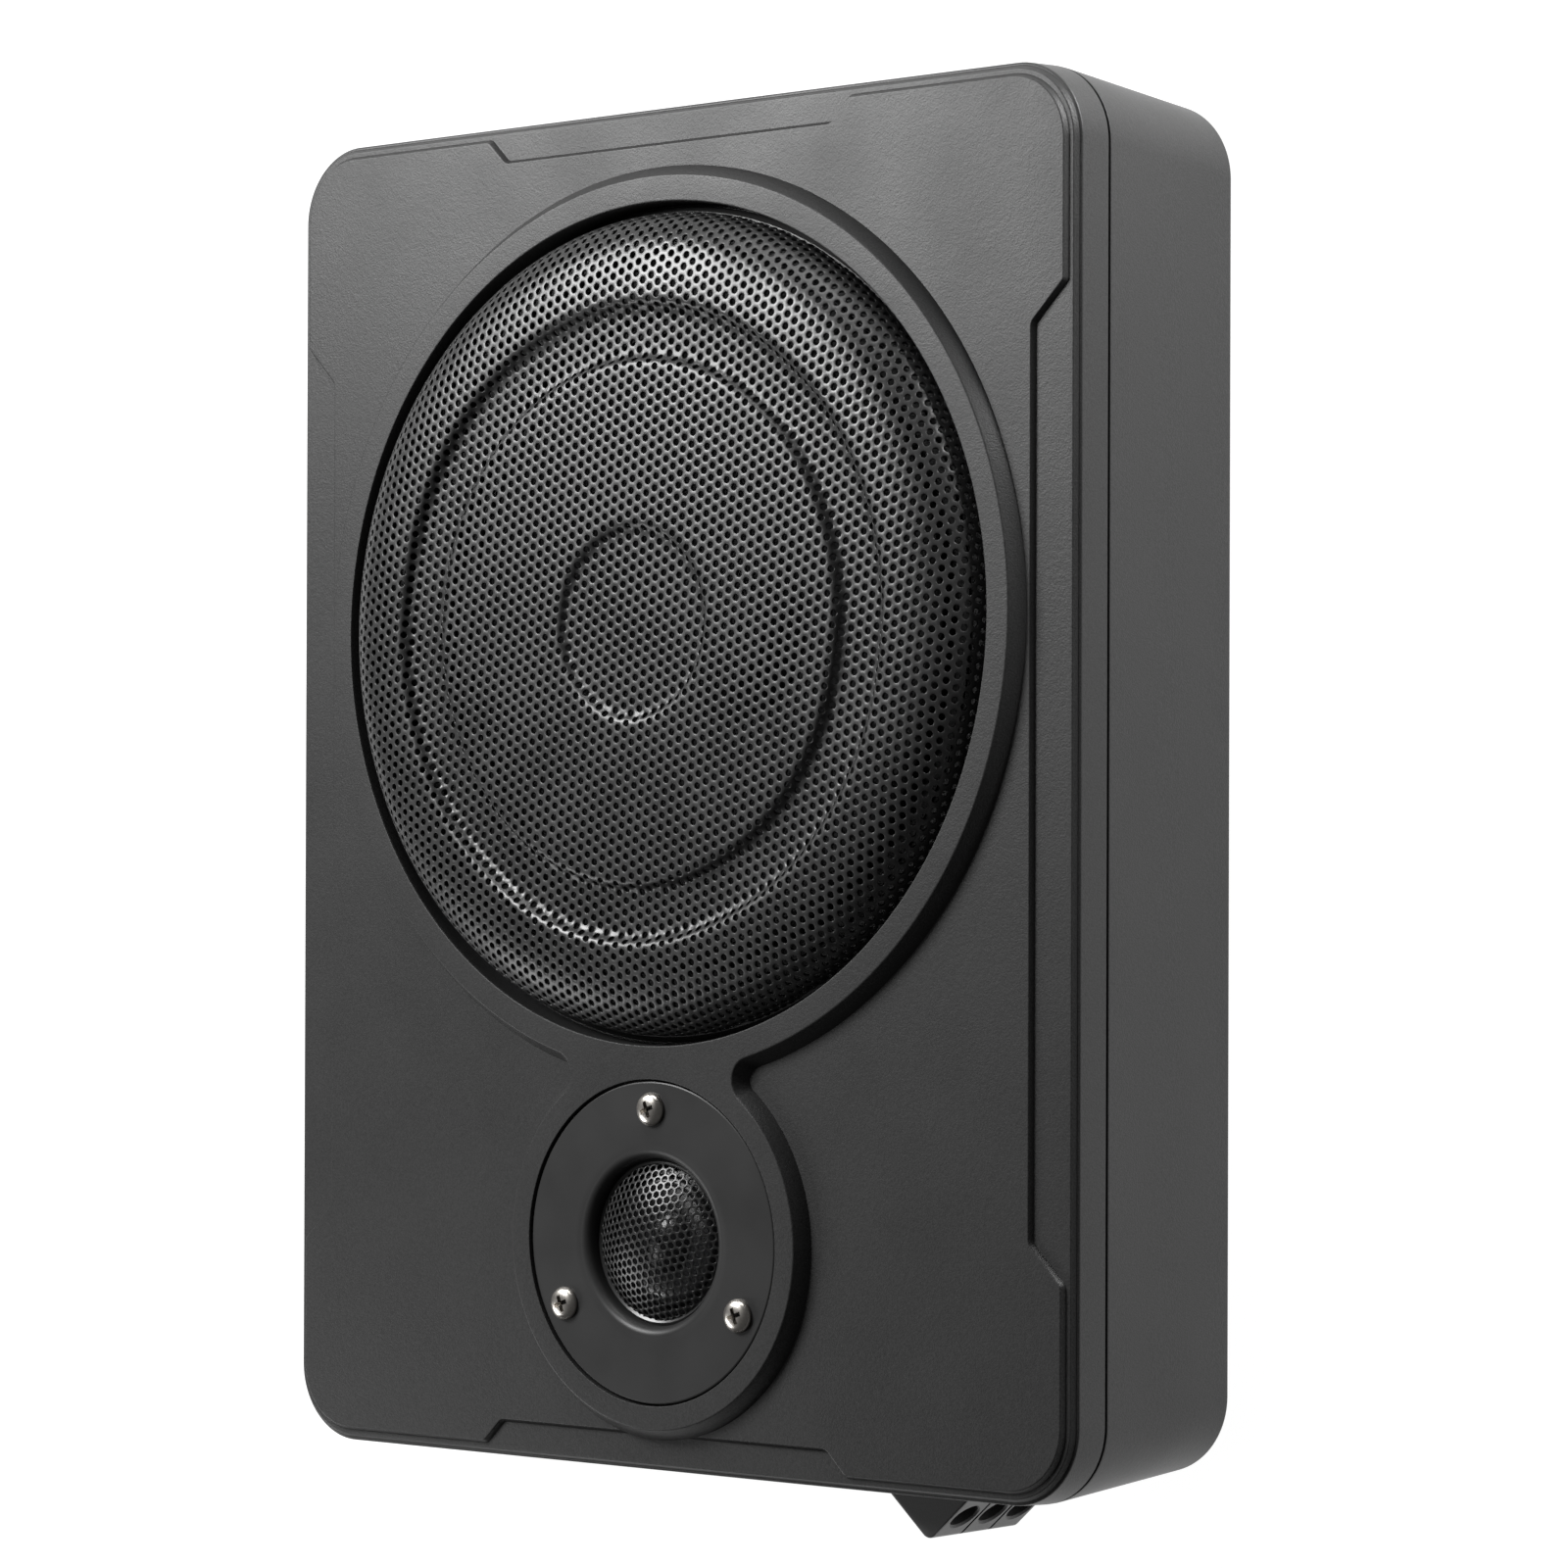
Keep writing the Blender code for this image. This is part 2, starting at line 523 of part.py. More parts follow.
def control_panel():
    """The sunk panel and what is on it. Each moving control has its origin on its joint's axis."""
    panel = block(
        "control_panel",
        "black_plastic",
        (PANEL_X[0], PANEL_FRONT, PANEL_Z[0]),
        (PANEL_X[1], PANEL_BACK, PANEL_Z[1]),
    )
    cut(panel, block(
        "panel_hollow",
        None,
        (PANEL_X[0] + PANEL_WALL, PANEL_FRONT - 5 * MM, PANEL_Z[0] + PANEL_WALL),
        (PANEL_X[1] - PANEL_WALL, PANEL_FLOOR, PANEL_Z[1] - PANEL_WALL),
    ))
    facing = facing_end()
    for name, x in KNOB_X.items():
        rings = [circle(SHAFT_BORE_R, 0, 12), circle(SHAFT_BORE_R, 10 * MM, 12)]
        cut(panel, stacked(f"bore_of_{name}", None, rings, at=(x, PANEL_BACK + 2 * MM, KNOB_Z), turn=facing))
        knob = [(1.5, 0), (1.5, 6.4), (6, 6.5), (6, 11), (5.4, 12.4)]
        body = turned(name, "satin_plastic", knob, 20, at=(x, PANEL_BACK + 3.5 * MM, KNOB_Z), turn=facing)
        low, high = (-0.6 * MM, 1.5 * MM, 11.6 * MM), (0.6 * MM, 7 * MM, 14 * MM)
        pointer = block(f"pointer_slot_of_{name}", None, low, high)
        pointer.location = body.location
        pointer.rotation_mode = "QUATERNION"
        pointer.rotation_quaternion = facing
        cut(body, pointer)
    for name, z in RCA_Z.items():
        jack = [(5.6, 0), (5.6, 1.4), (4.1, 1.5), (4.1, 7.5), (1.7, 7.5), (1.7, 1.8)]
        turned(name, "gold", jack, 16, at=(RCA_X, SOCKET_BACK, z), turn=facing)
    socket("high_level_socket", -70 * MM, 28 * MM, 16 * MM, 11 * MM, 13 * MM, 8 * MM)
    socket("remote_port", 18 * MM, 34 * MM, 15 * MM, 13 * MM, 11 * MM, 9 * MM)
    socket("fuse_holder", 40 * MM, 19 * MM, 20 * MM, 9.4 * MM, 16 * MM, 5.8 * MM)
    fuse = block("fuse", "fuse_blue", (32.6 * MM, -172 * MM, 16.7 * MM), (47.4 * MM, -167.4 * MM, 21.3 * MM))
    for i, x in enumerate((34 * MM, 43 * MM)):
        join(fuse, block(f"blade_{i}", None, (x, -168 * MM, 18.6 * MM), (x + 3 * MM, -165.8 * MM, 19.4 * MM)))
    lens = [(1.6, 0), (1.6, 1), (1.2, 1.7), (0.5, 2)]
    turned("power_led", "led_blue", lens, 12, at=(18 * MM, SOCKET_BACK, 18 * MM), turn=facing)
    low = (SWITCH_X - 1.9 * MM, PANEL_FLOOR - MM, SWITCH_Z - 1.8 * MM)
    high = (SWITCH_X + SWITCH_TRAVEL + 1.9 * MM, PANEL_BACK + MM, SWITCH_Z + 1.8 * MM)
    cut(panel, block("switch_slot", None, low, high))
    low = (SWITCH_X - 1.5 * MM, PANEL_FLOOR - 3 * MM, SWITCH_Z - 1.4 * MM)
    high = (SWITCH_X + 1.5 * MM, PANEL_BACK + 0.5 * MM, SWITCH_Z + 1.4 * MM)
    block("phase_switch", "satin_plastic", low, high)


def socket(name, x, z, width, height, hole_width, hole_height):
    """A rectangular shroud on the panel's floor, open towards -Y."""
    low, high = (x - width / 2, SOCKET_FRONT, z - height / 2), (x + width / 2, SOCKET_BACK, z + height / 2)
    shroud = block(name, "black_plastic", low, high)
    low = (x - hole_width / 2, SOCKET_FRONT - 2 * MM, z - hole_height / 2)
    high = (x + hole_width / 2, SOCKET_BACK - 1.1 * MM, z + hole_height / 2)
    cut(shroud, block(f"hole_of_{name}", None, low, high))


def terminal():
    """The ridge-shaped terminal, with a wire hole, a clamp pad and a screw in each of its ways."""
    x, half = TERMINAL_X, TERMINAL_HALF
    tail = half - MM
    left = [(x - tail, TERMINAL_BACK), (x - tail, TERMINAL_BASE), (x - half, TERMINAL_BASE)]
    right = [(x + half, TERMINAL_BASE), (x + tail, TERMINAL_BASE), (x + tail, TERMINAL_BACK)]
    outline = [*left, (x, TERMINAL_TIP), *right]
    body = prism("terminal_block", "black_plastic", outline, *TERMINAL_Z)
    height = TERMINAL_BASE - TERMINAL_TIP
    slope = hypot(half, height)
    wire_in = Vector((-height, half, 0)) / slope
    screw_in = Vector((height, half, 0)) / slope
    middle_y = (TERMINAL_BASE + TERMINAL_TIP) / 2
    reach = half / 2 / (height / slope)
    pitch = (TERMINAL_Z[1] - TERMINAL_Z[0]) / WAYS
    depth = 1.2 * MM
    foot = TERMINAL_BASE - 0.4 * MM
    reach_out = half + 2 * MM
    reach_in = half - depth * slope / height
    outer = [(x - reach_out, foot), (x, TERMINAL_TIP - 2.4 * MM), (x + reach_out, foot)]
    inner = [(x + reach_in, foot), (x, TERMINAL_TIP + depth * slope / half), (x - reach_in, foot)]
    for k in range(1, WAYS):
        z = TERMINAL_Z[0] + k * pitch
        cut(body, prism(f"way_groove_{k}", None, outer + inner, z - 0.45 * MM, z + 0.45 * MM))
    for k in range(WAYS):
        z = TERMINAL_Z[0] + (k + 0.5) * pitch
        mouth = Vector((x + half / 2, middle_y, z))
        rings = [circle(WIRE_HOLE_R, -4 * MM, 20), circle(WIRE_HOLE_R, WIRE_HOLE_DEPTH, 20)]
        wire_turn = wire_in.to_track_quat("Z", "Y")
        cut(body, stacked(f"wire_hole_{k}", None, rings, at=mouth, turn=wire_turn))
        mouth = Vector((x - half / 2, middle_y, z))
        screw_turn = screw_in.to_track_quat("Z", "Y")
        rings = [circle(CLAMP_HOLE_R, -4 * MM, 16), circle(CLAMP_HOLE_R, reach, 16)]
        cut(body, stacked(f"clamp_hole_{k}", None, rings, at=mouth, turn=screw_turn))
        rod = [(CLAMP_SCREW_R / MM, 1.5), (CLAMP_SCREW_R / MM, 6.2)]
        screw = turned(f"terminal_screw_{k + 1}", "zinc", rod, 16, at=mouth, turn=screw_turn)
        slot = block(f"slot_of_screw_{k}", None, (-3 * MM, -0.4 * MM, 0), (3 * MM, 0.4 * MM, 2.4 * MM))
        slot.location = mouth
        slot.rotation_mode = "QUATERNION"
        slot.rotation_quaternion = screw_turn
        cut(screw, slot)
        pad = [(CLAMP_SCREW_R / MM, 6.5), (CLAMP_SCREW_R / MM, 7.5)]
        turned(f"terminal_clamp_{k + 1}", "brass", pad, 16, at=mouth, turn=screw_turn)


front_cover()
rear_housing()
case_trim()
woofer()
tweeter()
amplifier()
control_panel()
terminal()
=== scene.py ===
"""The looks of a slim powered car subwoofer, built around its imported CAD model.

Each piece is in metres in the CAD's frame: the case lies on its back, +Z leaves the grille, +Y is the
long side, and the controls and the wire terminal are on the -Y end. Places come from the CAD nodes' boxes.
"""

import json
from math import atan2, ceil, cos, hypot, pi, radians, sin, sqrt

import bmesh
import bpy
import numpy as np
from mathutils import Matrix, Vector
from mathutils.geometry import delaunay_2d_cdt


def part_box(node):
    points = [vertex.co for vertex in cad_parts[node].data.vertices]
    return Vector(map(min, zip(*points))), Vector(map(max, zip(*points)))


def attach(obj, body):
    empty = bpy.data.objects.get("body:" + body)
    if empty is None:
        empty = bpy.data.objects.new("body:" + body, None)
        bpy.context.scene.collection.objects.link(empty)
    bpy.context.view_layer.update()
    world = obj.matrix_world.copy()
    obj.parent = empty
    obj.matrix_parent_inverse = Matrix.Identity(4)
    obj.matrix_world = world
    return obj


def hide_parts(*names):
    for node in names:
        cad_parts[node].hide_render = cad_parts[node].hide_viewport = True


MM = 0.001

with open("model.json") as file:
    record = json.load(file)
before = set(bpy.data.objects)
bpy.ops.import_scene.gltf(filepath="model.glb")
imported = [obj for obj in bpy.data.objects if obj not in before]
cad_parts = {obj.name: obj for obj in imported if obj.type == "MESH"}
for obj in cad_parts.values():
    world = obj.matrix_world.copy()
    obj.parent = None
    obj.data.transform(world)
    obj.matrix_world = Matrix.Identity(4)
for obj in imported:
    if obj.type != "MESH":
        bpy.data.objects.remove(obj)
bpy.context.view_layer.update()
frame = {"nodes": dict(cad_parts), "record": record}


# ---------------------------------------------------------------- places, from the CAD


def middle(node):
    low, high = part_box(node)
    return (low + high) / 2


COVER_LOW, COVER_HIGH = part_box("front_cover")
CASE = middle("front_cover")
WIDTH = COVER_HIGH.x - COVER_LOW.x
LENGTH = COVER_HIGH.y - COVER_LOW.y
COVER_BOTTOM = COVER_LOW.z

# Heights over the rim, in millimetres as in all profiles below.
RING_RISE = 6.4
PLATEAU_RISE = 2.6
ROOF = -1.8

RIM_Z = COVER_HIGH.z - RING_RISE * MM
PLATEAU_Z = RIM_Z + PLATEAU_RISE * MM
WOOFER = middle("woofer_grille")
TWEETER = middle("tweeter_faceplate")

# Sizes of the case, in metres.
CORNER = 20 * MM
WALL = 3 * MM
SIDE_DRAFT = 0.9 * MM
END_DRAFT = 3.4 * MM

# Edges that turn by more than this many degrees are drawn sharp.
SHARP_ANGLE = 32


# ---------------------------------------------------------------- materials


class Nodes:
    """A material's node tree with a Principled shader, and short ways to add to it."""

    def __init__(self, name, colour, roughness, metallic):
        self.material = bpy.data.materials.new(name)
        self.material.use_nodes = True
        self.tree = self.material.node_tree
        self.shader = self.tree.nodes["Principled BSDF"]
        self.colour, self.roughness = colour, roughness
        self.shader.inputs["Base Color"].default_value = (*colour, 1)
        self.shader.inputs["Roughness"].default_value = roughness
        self.shader.inputs["Metallic"].default_value = metallic
        self.material.diffuse_color = (*colour, 1)
        self.coordinates = self.tree.nodes.new("ShaderNodeTexCoord").outputs["Object"]

    def node(self, kind, **inputs):
        made = self.tree.nodes.new(kind)
        for key, value in inputs.items():
            socket = made.inputs[key.replace("_", " ")]
            if isinstance(value, bpy.types.NodeSocket):
                self.tree.links.new(value, socket)
            else:
                socket.default_value = value
        return made

    def noise(self, size, detail=2.0):
        """Noise with lumps of about size metres."""
        scale = 1 / size
        made = self.node("ShaderNodeTexNoise", Vector=self.coordinates, Scale=scale, Detail=detail)
        return made.outputs[0]

    def between(self, value, low, high):
        """Spreads the usual range of a noise over low to high."""
        ends = {"From_Min": 0.3, "From_Max": 0.7, "To_Min": low, "To_Max": high}
        return self.node("ShaderNodeMapRange", Value=value, **ends).outputs[0]

    def vary_colour(self, value, spread):
        """Multiplies the base colour by 1 - spread to 1 + spread as value goes from low to high."""
        made = self.node("ShaderNodeMix")
        made.data_type = "RGBA"
        low, high = ([c * factor for c in self.colour] + [1] for factor in (1 - spread, 1 + spread))
        colours = [s for s in made.inputs if s.type == "RGBA"]
        colours[0].default_value, colours[1].default_value = low, high
        self.tree.links.new(self.between(value, 0, 1), made.inputs["Factor"])
        output = next(s for s in made.outputs if s.type == "RGBA")
        self.tree.links.new(output, self.shader.inputs["Base Color"])

    def vary_roughness(self, value, spread):
        made = self.between(value, self.roughness - spread, self.roughness + spread)
        self.tree.links.new(made, self.shader.inputs["Roughness"])

    def bump(self, height, depth):
        made = self.node("ShaderNodeBump", Height=height, Distance=depth, Strength=1.0)
        self.tree.links.new(made.outputs[0], self.shader.inputs["Normal"])


def surface(
    name, colour, roughness, metallic=0.0, grain=0.4, depth=0.01, spread=0.1, rough_spread=0.05, specular=0.5
):
    """A moulded, painted or plain metal surface: a fine grain, and a slow change of gloss.

    The grain's size and its depth are in millimetres."""
    made = Nodes(name, colour, roughness, metallic)
    fine = made.noise(grain * MM)
    made.vary_colour(fine, spread)
    made.vary_roughness(made.noise(18 * MM, 3), rough_spread)
    made.bump(fine, depth * MM)
    made.shader.inputs["Specular IOR Level"].default_value = specular
    return made.material


def textured_paint(name, colour, roughness):
    """Satin paint with a fine sandy texture whose tops catch the light."""
    made = Nodes(name, colour, roughness, 0.0)
    grit, soft = made.noise(0.42 * MM, 1.5), made.noise(1.4 * MM, 1.0)
    height = made.node("ShaderNodeMath")
    height.operation = "MULTIPLY_ADD"
    made.tree.links.new(soft, height.inputs[0])
    height.inputs[1].default_value = 0.6
    made.tree.links.new(grit, height.inputs[2])
    made.vary_colour(grit, 0.26)
    made.vary_roughness(made.noise(30 * MM, 3), 0.03)
    made.bump(height.outputs[0], 0.05 * MM)
    made.shader.inputs["Specular IOR Level"].default_value = 0.33
    return made.material


def grey(level):
    return (level, level, level)


PAINT = textured_paint("case_paint", grey(0.027), 0.44)
GRILLE = surface("grille_coat", grey(0.03), 0.36, grain=0.25, depth=0.006)
PLATE = surface("plate_plastic", grey(0.026), 0.42, grain=0.3, depth=0.003, spread=0.05, specular=0.3)
MESH = surface("mesh_coat", grey(0.03), 0.3, metallic=0.2, grain=0.2, depth=0.003)
BLACK = surface("black_moulding", grey(0.02), 0.5, grain=0.5, depth=0.012)
GREY = surface("terminal_moulding", grey(0.06), 0.45, grain=0.45)
RUBBER = surface("foot_rubber", grey(0.014), 0.75, grain=0.6, depth=0.02, spread=0.2)
FOAM = surface("seal_foam", grey(0.01), 0.95, grain=0.5, depth=0.05, spread=0.3)
NICKEL = surface("nickel_plate", (0.6, 0.57, 0.53), 0.28, 1.0, grain=0.5, depth=0.006, rough_spread=0.1)
SILK = surface("coated_silk", (0.014, 0.014, 0.015), 0.26, grain=0.3, depth=0.004, spread=0.05)
KNOB = surface("knob_plastic", grey(0.022), 0.38, grain=0.3, depth=0.004)
WHITE = surface("white_plastic", (0.75, 0.75, 0.73), 0.4, depth=0.003, spread=0.03)
RED = surface("red_plastic", (0.5, 0.02, 0.02), 0.4, depth=0.003, spread=0.05)
GOLD = surface("gold_plate", (0.9, 0.62, 0.24), 0.22, 1.0, depth=0.003, spread=0.05)
ZINC = surface("zinc_plate", (0.42, 0.42, 0.44), 0.38, 1.0, grain=0.8, depth=0.006)
BRASS = surface("plain_brass", (0.72, 0.5, 0.2), 0.35, 1.0, depth=0.005)
BASKET = surface("basket_paint", (0.02, 0.02, 0.022), 0.45, grain=0.6, depth=0.015)
FERRITE = surface("ferrite", (0.035, 0.035, 0.04), 0.6, grain=0.7, depth=0.02, spread=0.2)
PULP = surface("pressed_pulp", (0.013, 0.013, 0.014), 0.8, grain=0.9, depth=0.06, spread=0.3)
CLOTH = surface("resin_cloth", (0.4, 0.25, 0.07), 0.85, grain=0.5, depth=0.05, spread=0.25)
COPPER = surface("enamelled_copper", (0.75, 0.32, 0.12), 0.3, 1.0, grain=0.2, depth=0.02, spread=0.15)
BOARD = surface("solder_mask", (0.01, 0.1, 0.035), 0.35, grain=1.2, spread=0.2)
ALUMINIUM = surface("extruded_aluminium", (0.6, 0.6, 0.62), 0.38, 1.0, depth=0.006)
LENS = surface("led_lens", (0.04, 0.2, 0.85), 0.15, grain=0.5, depth=0.001, spread=0.03)
FUSE = surface("fuse_plastic", (0.03, 0.13, 0.62), 0.25, grain=0.5, depth=0.003, spread=0.06)

LOOKS = {
    "cover_paint": PAINT,
    "housing_paint": PAINT,
    "grille_paint": GRILLE,
    "black_plastic": BLACK,
    "satin_plastic": PLATE,
    "rubber": RUBBER,
    "foam": FOAM,
    "nickel": NICKEL,
    "zinc": ZINC,
    "gold": GOLD,
    "silk": SILK,
    "brass": BRASS,
    "cast_steel": BASKET,
    "ferrite": FERRITE,
    "pulp_cone": PULP,
    "spider_cloth": CLOTH,
    "copper": COPPER,
    "circuit_board": BOARD,
    "aluminium": ALUMINIUM,
    "led_blue": LENS,
    "fuse_blue": FUSE,
}


# ---------------------------------------------------------------- mesh tools


def finish_mesh(name, bm, material, body="chassis", sharp=SHARP_ANGLE, merge=True):
    """Turns a bmesh into a shaded object that rides on a body."""
    if merge:
        bmesh.ops.remove_doubles(bm, verts=bm.verts, dist=0.002 * MM)
    bmesh.ops.recalc_face_normals(bm, faces=bm.faces)
    mesh = bpy.data.meshes.new(name)
    bm.to_mesh(mesh)
    bm.free()
    mesh.materials.append(material)
    mesh.shade_smooth()
    mesh.set_sharp_from_angle(angle=radians(sharp))
    obj = bpy.data.objects.new(name, mesh)
    bpy.context.scene.collection.objects.link(obj)
    if body:
        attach(obj, body)
    return obj


def ring(bm, points):
    return [bm.verts.new(p) for p in points]


def strip(bm, low, high):
    """Quads between two closed rings of equally many vertices."""
    for i in range(len(low)):
        j = (i + 1) % len(low)
        bm.faces.new((low[i], low[j], high[j], high[i]))


def fill(bm, *loops):
    """Triangles between the first closed loop and the others, which are holes in it."""
    verts = [v for loop in loops for v in loop]
    points = [v.co.xy / MM for v in verts]
    edges, start = [], 0
    for loop in loops:
        edges += [(start + i, start + (i + 1) % len(loop)) for i in range(len(loop))]
        start += len(loop)
    x0, y0 = np.array([points[a] for a, _ in edges]).T
    x1, y1 = np.array([points[b] for _, b in edges]).T
    _, _, triangles, source, _, _ = delaunay_2d_cdt(points, edges, [], 0, 1e-6)
    for triangle in triangles:
        corners = [verts[source[i][0]] for i in triangle]
        x, y = sum((v.co.xy for v in corners), Vector((0, 0))) / 3 / MM
        spans = (y0 > y) != (y1 > y)
        crossings = x0[spans] + (y - y0[spans]) * (x1 - x0)[spans] / (y1 - y0)[spans]
        if (crossings > x).sum() % 2:
            bm.faces.new(corners)


def circle(radius, z, centre, segments):
    turns = [2 * pi * i / segments for i in range(segments)]
    return [(centre.x + radius * cos(a), centre.y + radius * sin(a), z) for a in turns]


def outline(corners, grow, z, centre=None, density=26):
    """An anticlockwise outline through (x, y, radius) corners, moved outwards by grow, at height z.

    A quarter turn is rounded in density steps."""
    centre = centre or CASE
    points, count = [], len(corners)
    flat = [Vector(c[:2]) for c in corners]
    edges = [(flat[(i + 1) % count] - flat[i]).normalized() for i in range(count)]
    for i in range(count):
        before, after, (x, y, radius) = edges[i - 1], edges[i], corners[i]
        cross = before.x * after.y - before.y * after.x
        turn = atan2(cross, before.dot(after))
        outwards = (Vector((before.y, -before.x)) + Vector((after.y, -after.x))).normalized()
        corner = Vector((x, y)) + outwards * (grow / cos(turn / 2))
        rounding = radius + grow if turn > 0 else radius - grow
        side = 1 if turn > 0 else -1
        hub = corner - outwards * (rounding / cos(turn / 2)) * side
        start = Vector((before.y, -before.x)) * side
        steps = max(4, ceil(abs(turn) / (pi / 2) * density))
        for k in range(steps + 1):
            a = turn * k / steps
            spoke = Vector((start.x * cos(a) - start.y * sin(a), start.x * sin(a) + start.y * cos(a)))
            at = hub + spoke * rounding
            points.append((centre.x + at.x, centre.y + at.y, z))
    return points


def settle(obj, *cutters):
    """Cuts the closed meshes in cutters out of obj, and keeps the result as obj's mesh."""
    material = obj.data.materials[0]
    for cutter in cutters:
        modifier = obj.modifiers.new("cut", "BOOLEAN")
        modifier.operation, modifier.solver, modifier.object = "DIFFERENCE", "EXACT", cutter
    bpy.context.view_layer.update()
    graph = bpy.context.evaluated_depsgraph_get()
    mesh = bpy.data.meshes.new_from_object(obj.evaluated_get(graph))
    obj.modifiers.clear()
    obj.data = mesh
    for cutter in cutters:
        bpy.data.objects.remove(cutter)
    mesh.materials.clear()
    mesh.materials.append(material)
    mesh.shade_smooth()
    mesh.set_sharp_from_angle(angle=radians(SHARP_ANGLE))


def even_normals(obj):
    """Keeps the large flat faces flat beside their small roundings."""
    modifier = obj.modifiers.new("even_normals", "WEIGHTED_NORMAL")
    modifier.keep_sharp = True
    return obj


def turned(name, profile, material, centre, body="chassis", segments=128, closed=True, turn=None):
    """A turned piece from (radius, height) pairs in metres about an axis through centre.

    The axis is vertical, unless turn rotates the piece."""
    bm = bmesh.new()
    axis = Vector((0, 0, 0))
    rings = [ring(bm, circle(max(r, 1e-7), z, axis, segments)) for r, z in profile]
    for low, high in zip(rings, rings[1:]):
        strip(bm, low, high)
    if closed:
        strip(bm, rings[-1], rings[0])
    place = Matrix.Translation(centre) @ (turn.to_4x4() if turn else Matrix())
    bmesh.ops.transform(bm, matrix=place, verts=bm.verts)
    return finish_mesh(name, bm, material, body)


def arc(centre, radius, start, end, steps):
    """Points of a profile's round stretch, with angles in degrees."""
    turns = [radians(start + (end - start) * i / steps) for i in range(steps + 1)]
    return [(centre[0] + radius * cos(a), centre[1] + radius * sin(a)) for a in turns]


def mm(profile):
    """A profile in metres from one in millimetres."""
    return [(r * MM, z * MM) for r, z in profile]


# ---------------------------------------------------------------- case

QUARTERS = ((1, 1), (-1, 1), (-1, -1), (1, -1))
CASE_CORNERS = [(sx * WIDTH / 2, sy * LENGTH / 2, CORNER) for sx, sy in QUARTERS]
PLATEAU_INSET = 3.35 * MM
SIDE_NOTCH, END_NOTCH = 9.6 * MM, 6 * MM
NOTCH_ROUND = 2.2 * MM
SLANT_X = (54 * MM, 60 * MM)
SLANT_Y = (109 * MM, 118.6 * MM)
WOOFER_RING, TWEETER_RING, NECK_ROUND = 112.6 * MM, 47 * MM, 6 * MM
FOOT_POCKET, FOOT_POCKET_TOP = 9.5 * MM, 3.3 * MM
SCREW_HOLE, SCREW_HOLE_TOP = 4.2 * MM, 3.6 * MM

# Radii of the cover's openings, in millimetres.
MOUTH, GRILLE_SEAT, CLAMP_RING = 106, 96, 110
PLATE_RECESS, TWEETER_HOLE = 41, 31


def plateau_corners():
    """The plateau's foot: the case outline moved in, with a notch between slants along each side."""
    half_x, half_y = WIDTH / 2 - PLATEAU_INSET, LENGTH / 2 - PLATEAU_INSET
    radius = CORNER - PLATEAU_INSET
    cut_x, cut_y = half_x - SIDE_NOTCH, half_y - END_NOTCH
    (end_in, end_out), (side_in, side_out) = SLANT_X, SLANT_Y
    top = [(end_out, half_y), (end_in, cut_y), (-end_in, cut_y), (-end_out, half_y)]
    left = [(-half_x, side_out), (-cut_x, side_in), (-cut_x, -side_in), (-half_x, -side_out)]
    bottom = [(-x, -y) for x, y in top]
    right = [(-x, -y) for x, y in left]
    corners = []
    for (sx, sy), side in zip(QUARTERS, (top, left, bottom, right)):
        corners.append((sx * half_x, sy * half_y, radius))
        corners += [(x, y, NOTCH_ROUND) for x, y in side]
    return corners


def figure_eight(grow, z):
    """The raised ring's outline round both drivers, with hollow fillets at its neck."""
    big, small, neck = WOOFER_RING + grow, TWEETER_RING + grow, NECK_ROUND - grow
    apart = WOOFER.y - TWEETER.y
    along = (apart**2 + (big + neck) ** 2 - (small + neck) ** 2) / (2 * apart)
    neck_x, neck_y = sqrt((big + neck) ** 2 - along**2), WOOFER.y - along
    to_big, to_small = atan2(neck_y - WOOFER.y, neck_x), atan2(neck_y - TWEETER.y, neck_x)
    arcs = (
        (0, WOOFER.y, big, to_big, pi - to_big, 160),
        (-neck_x, neck_y, neck, -to_big, -to_small, 14),
        (0, TWEETER.y, small, pi - to_small, 2 * pi + to_small, 72),
        (neck_x, neck_y, neck, pi + to_small, pi + to_big, 14),
    )
    points = []
    for x, y, radius, start, end, steps in arcs:
        turns = [start + (end - start) * i / steps for i in range(steps)]
        points += [(CASE.x + x + radius * cos(a), y + radius * sin(a), z) for a in turns]
    return points


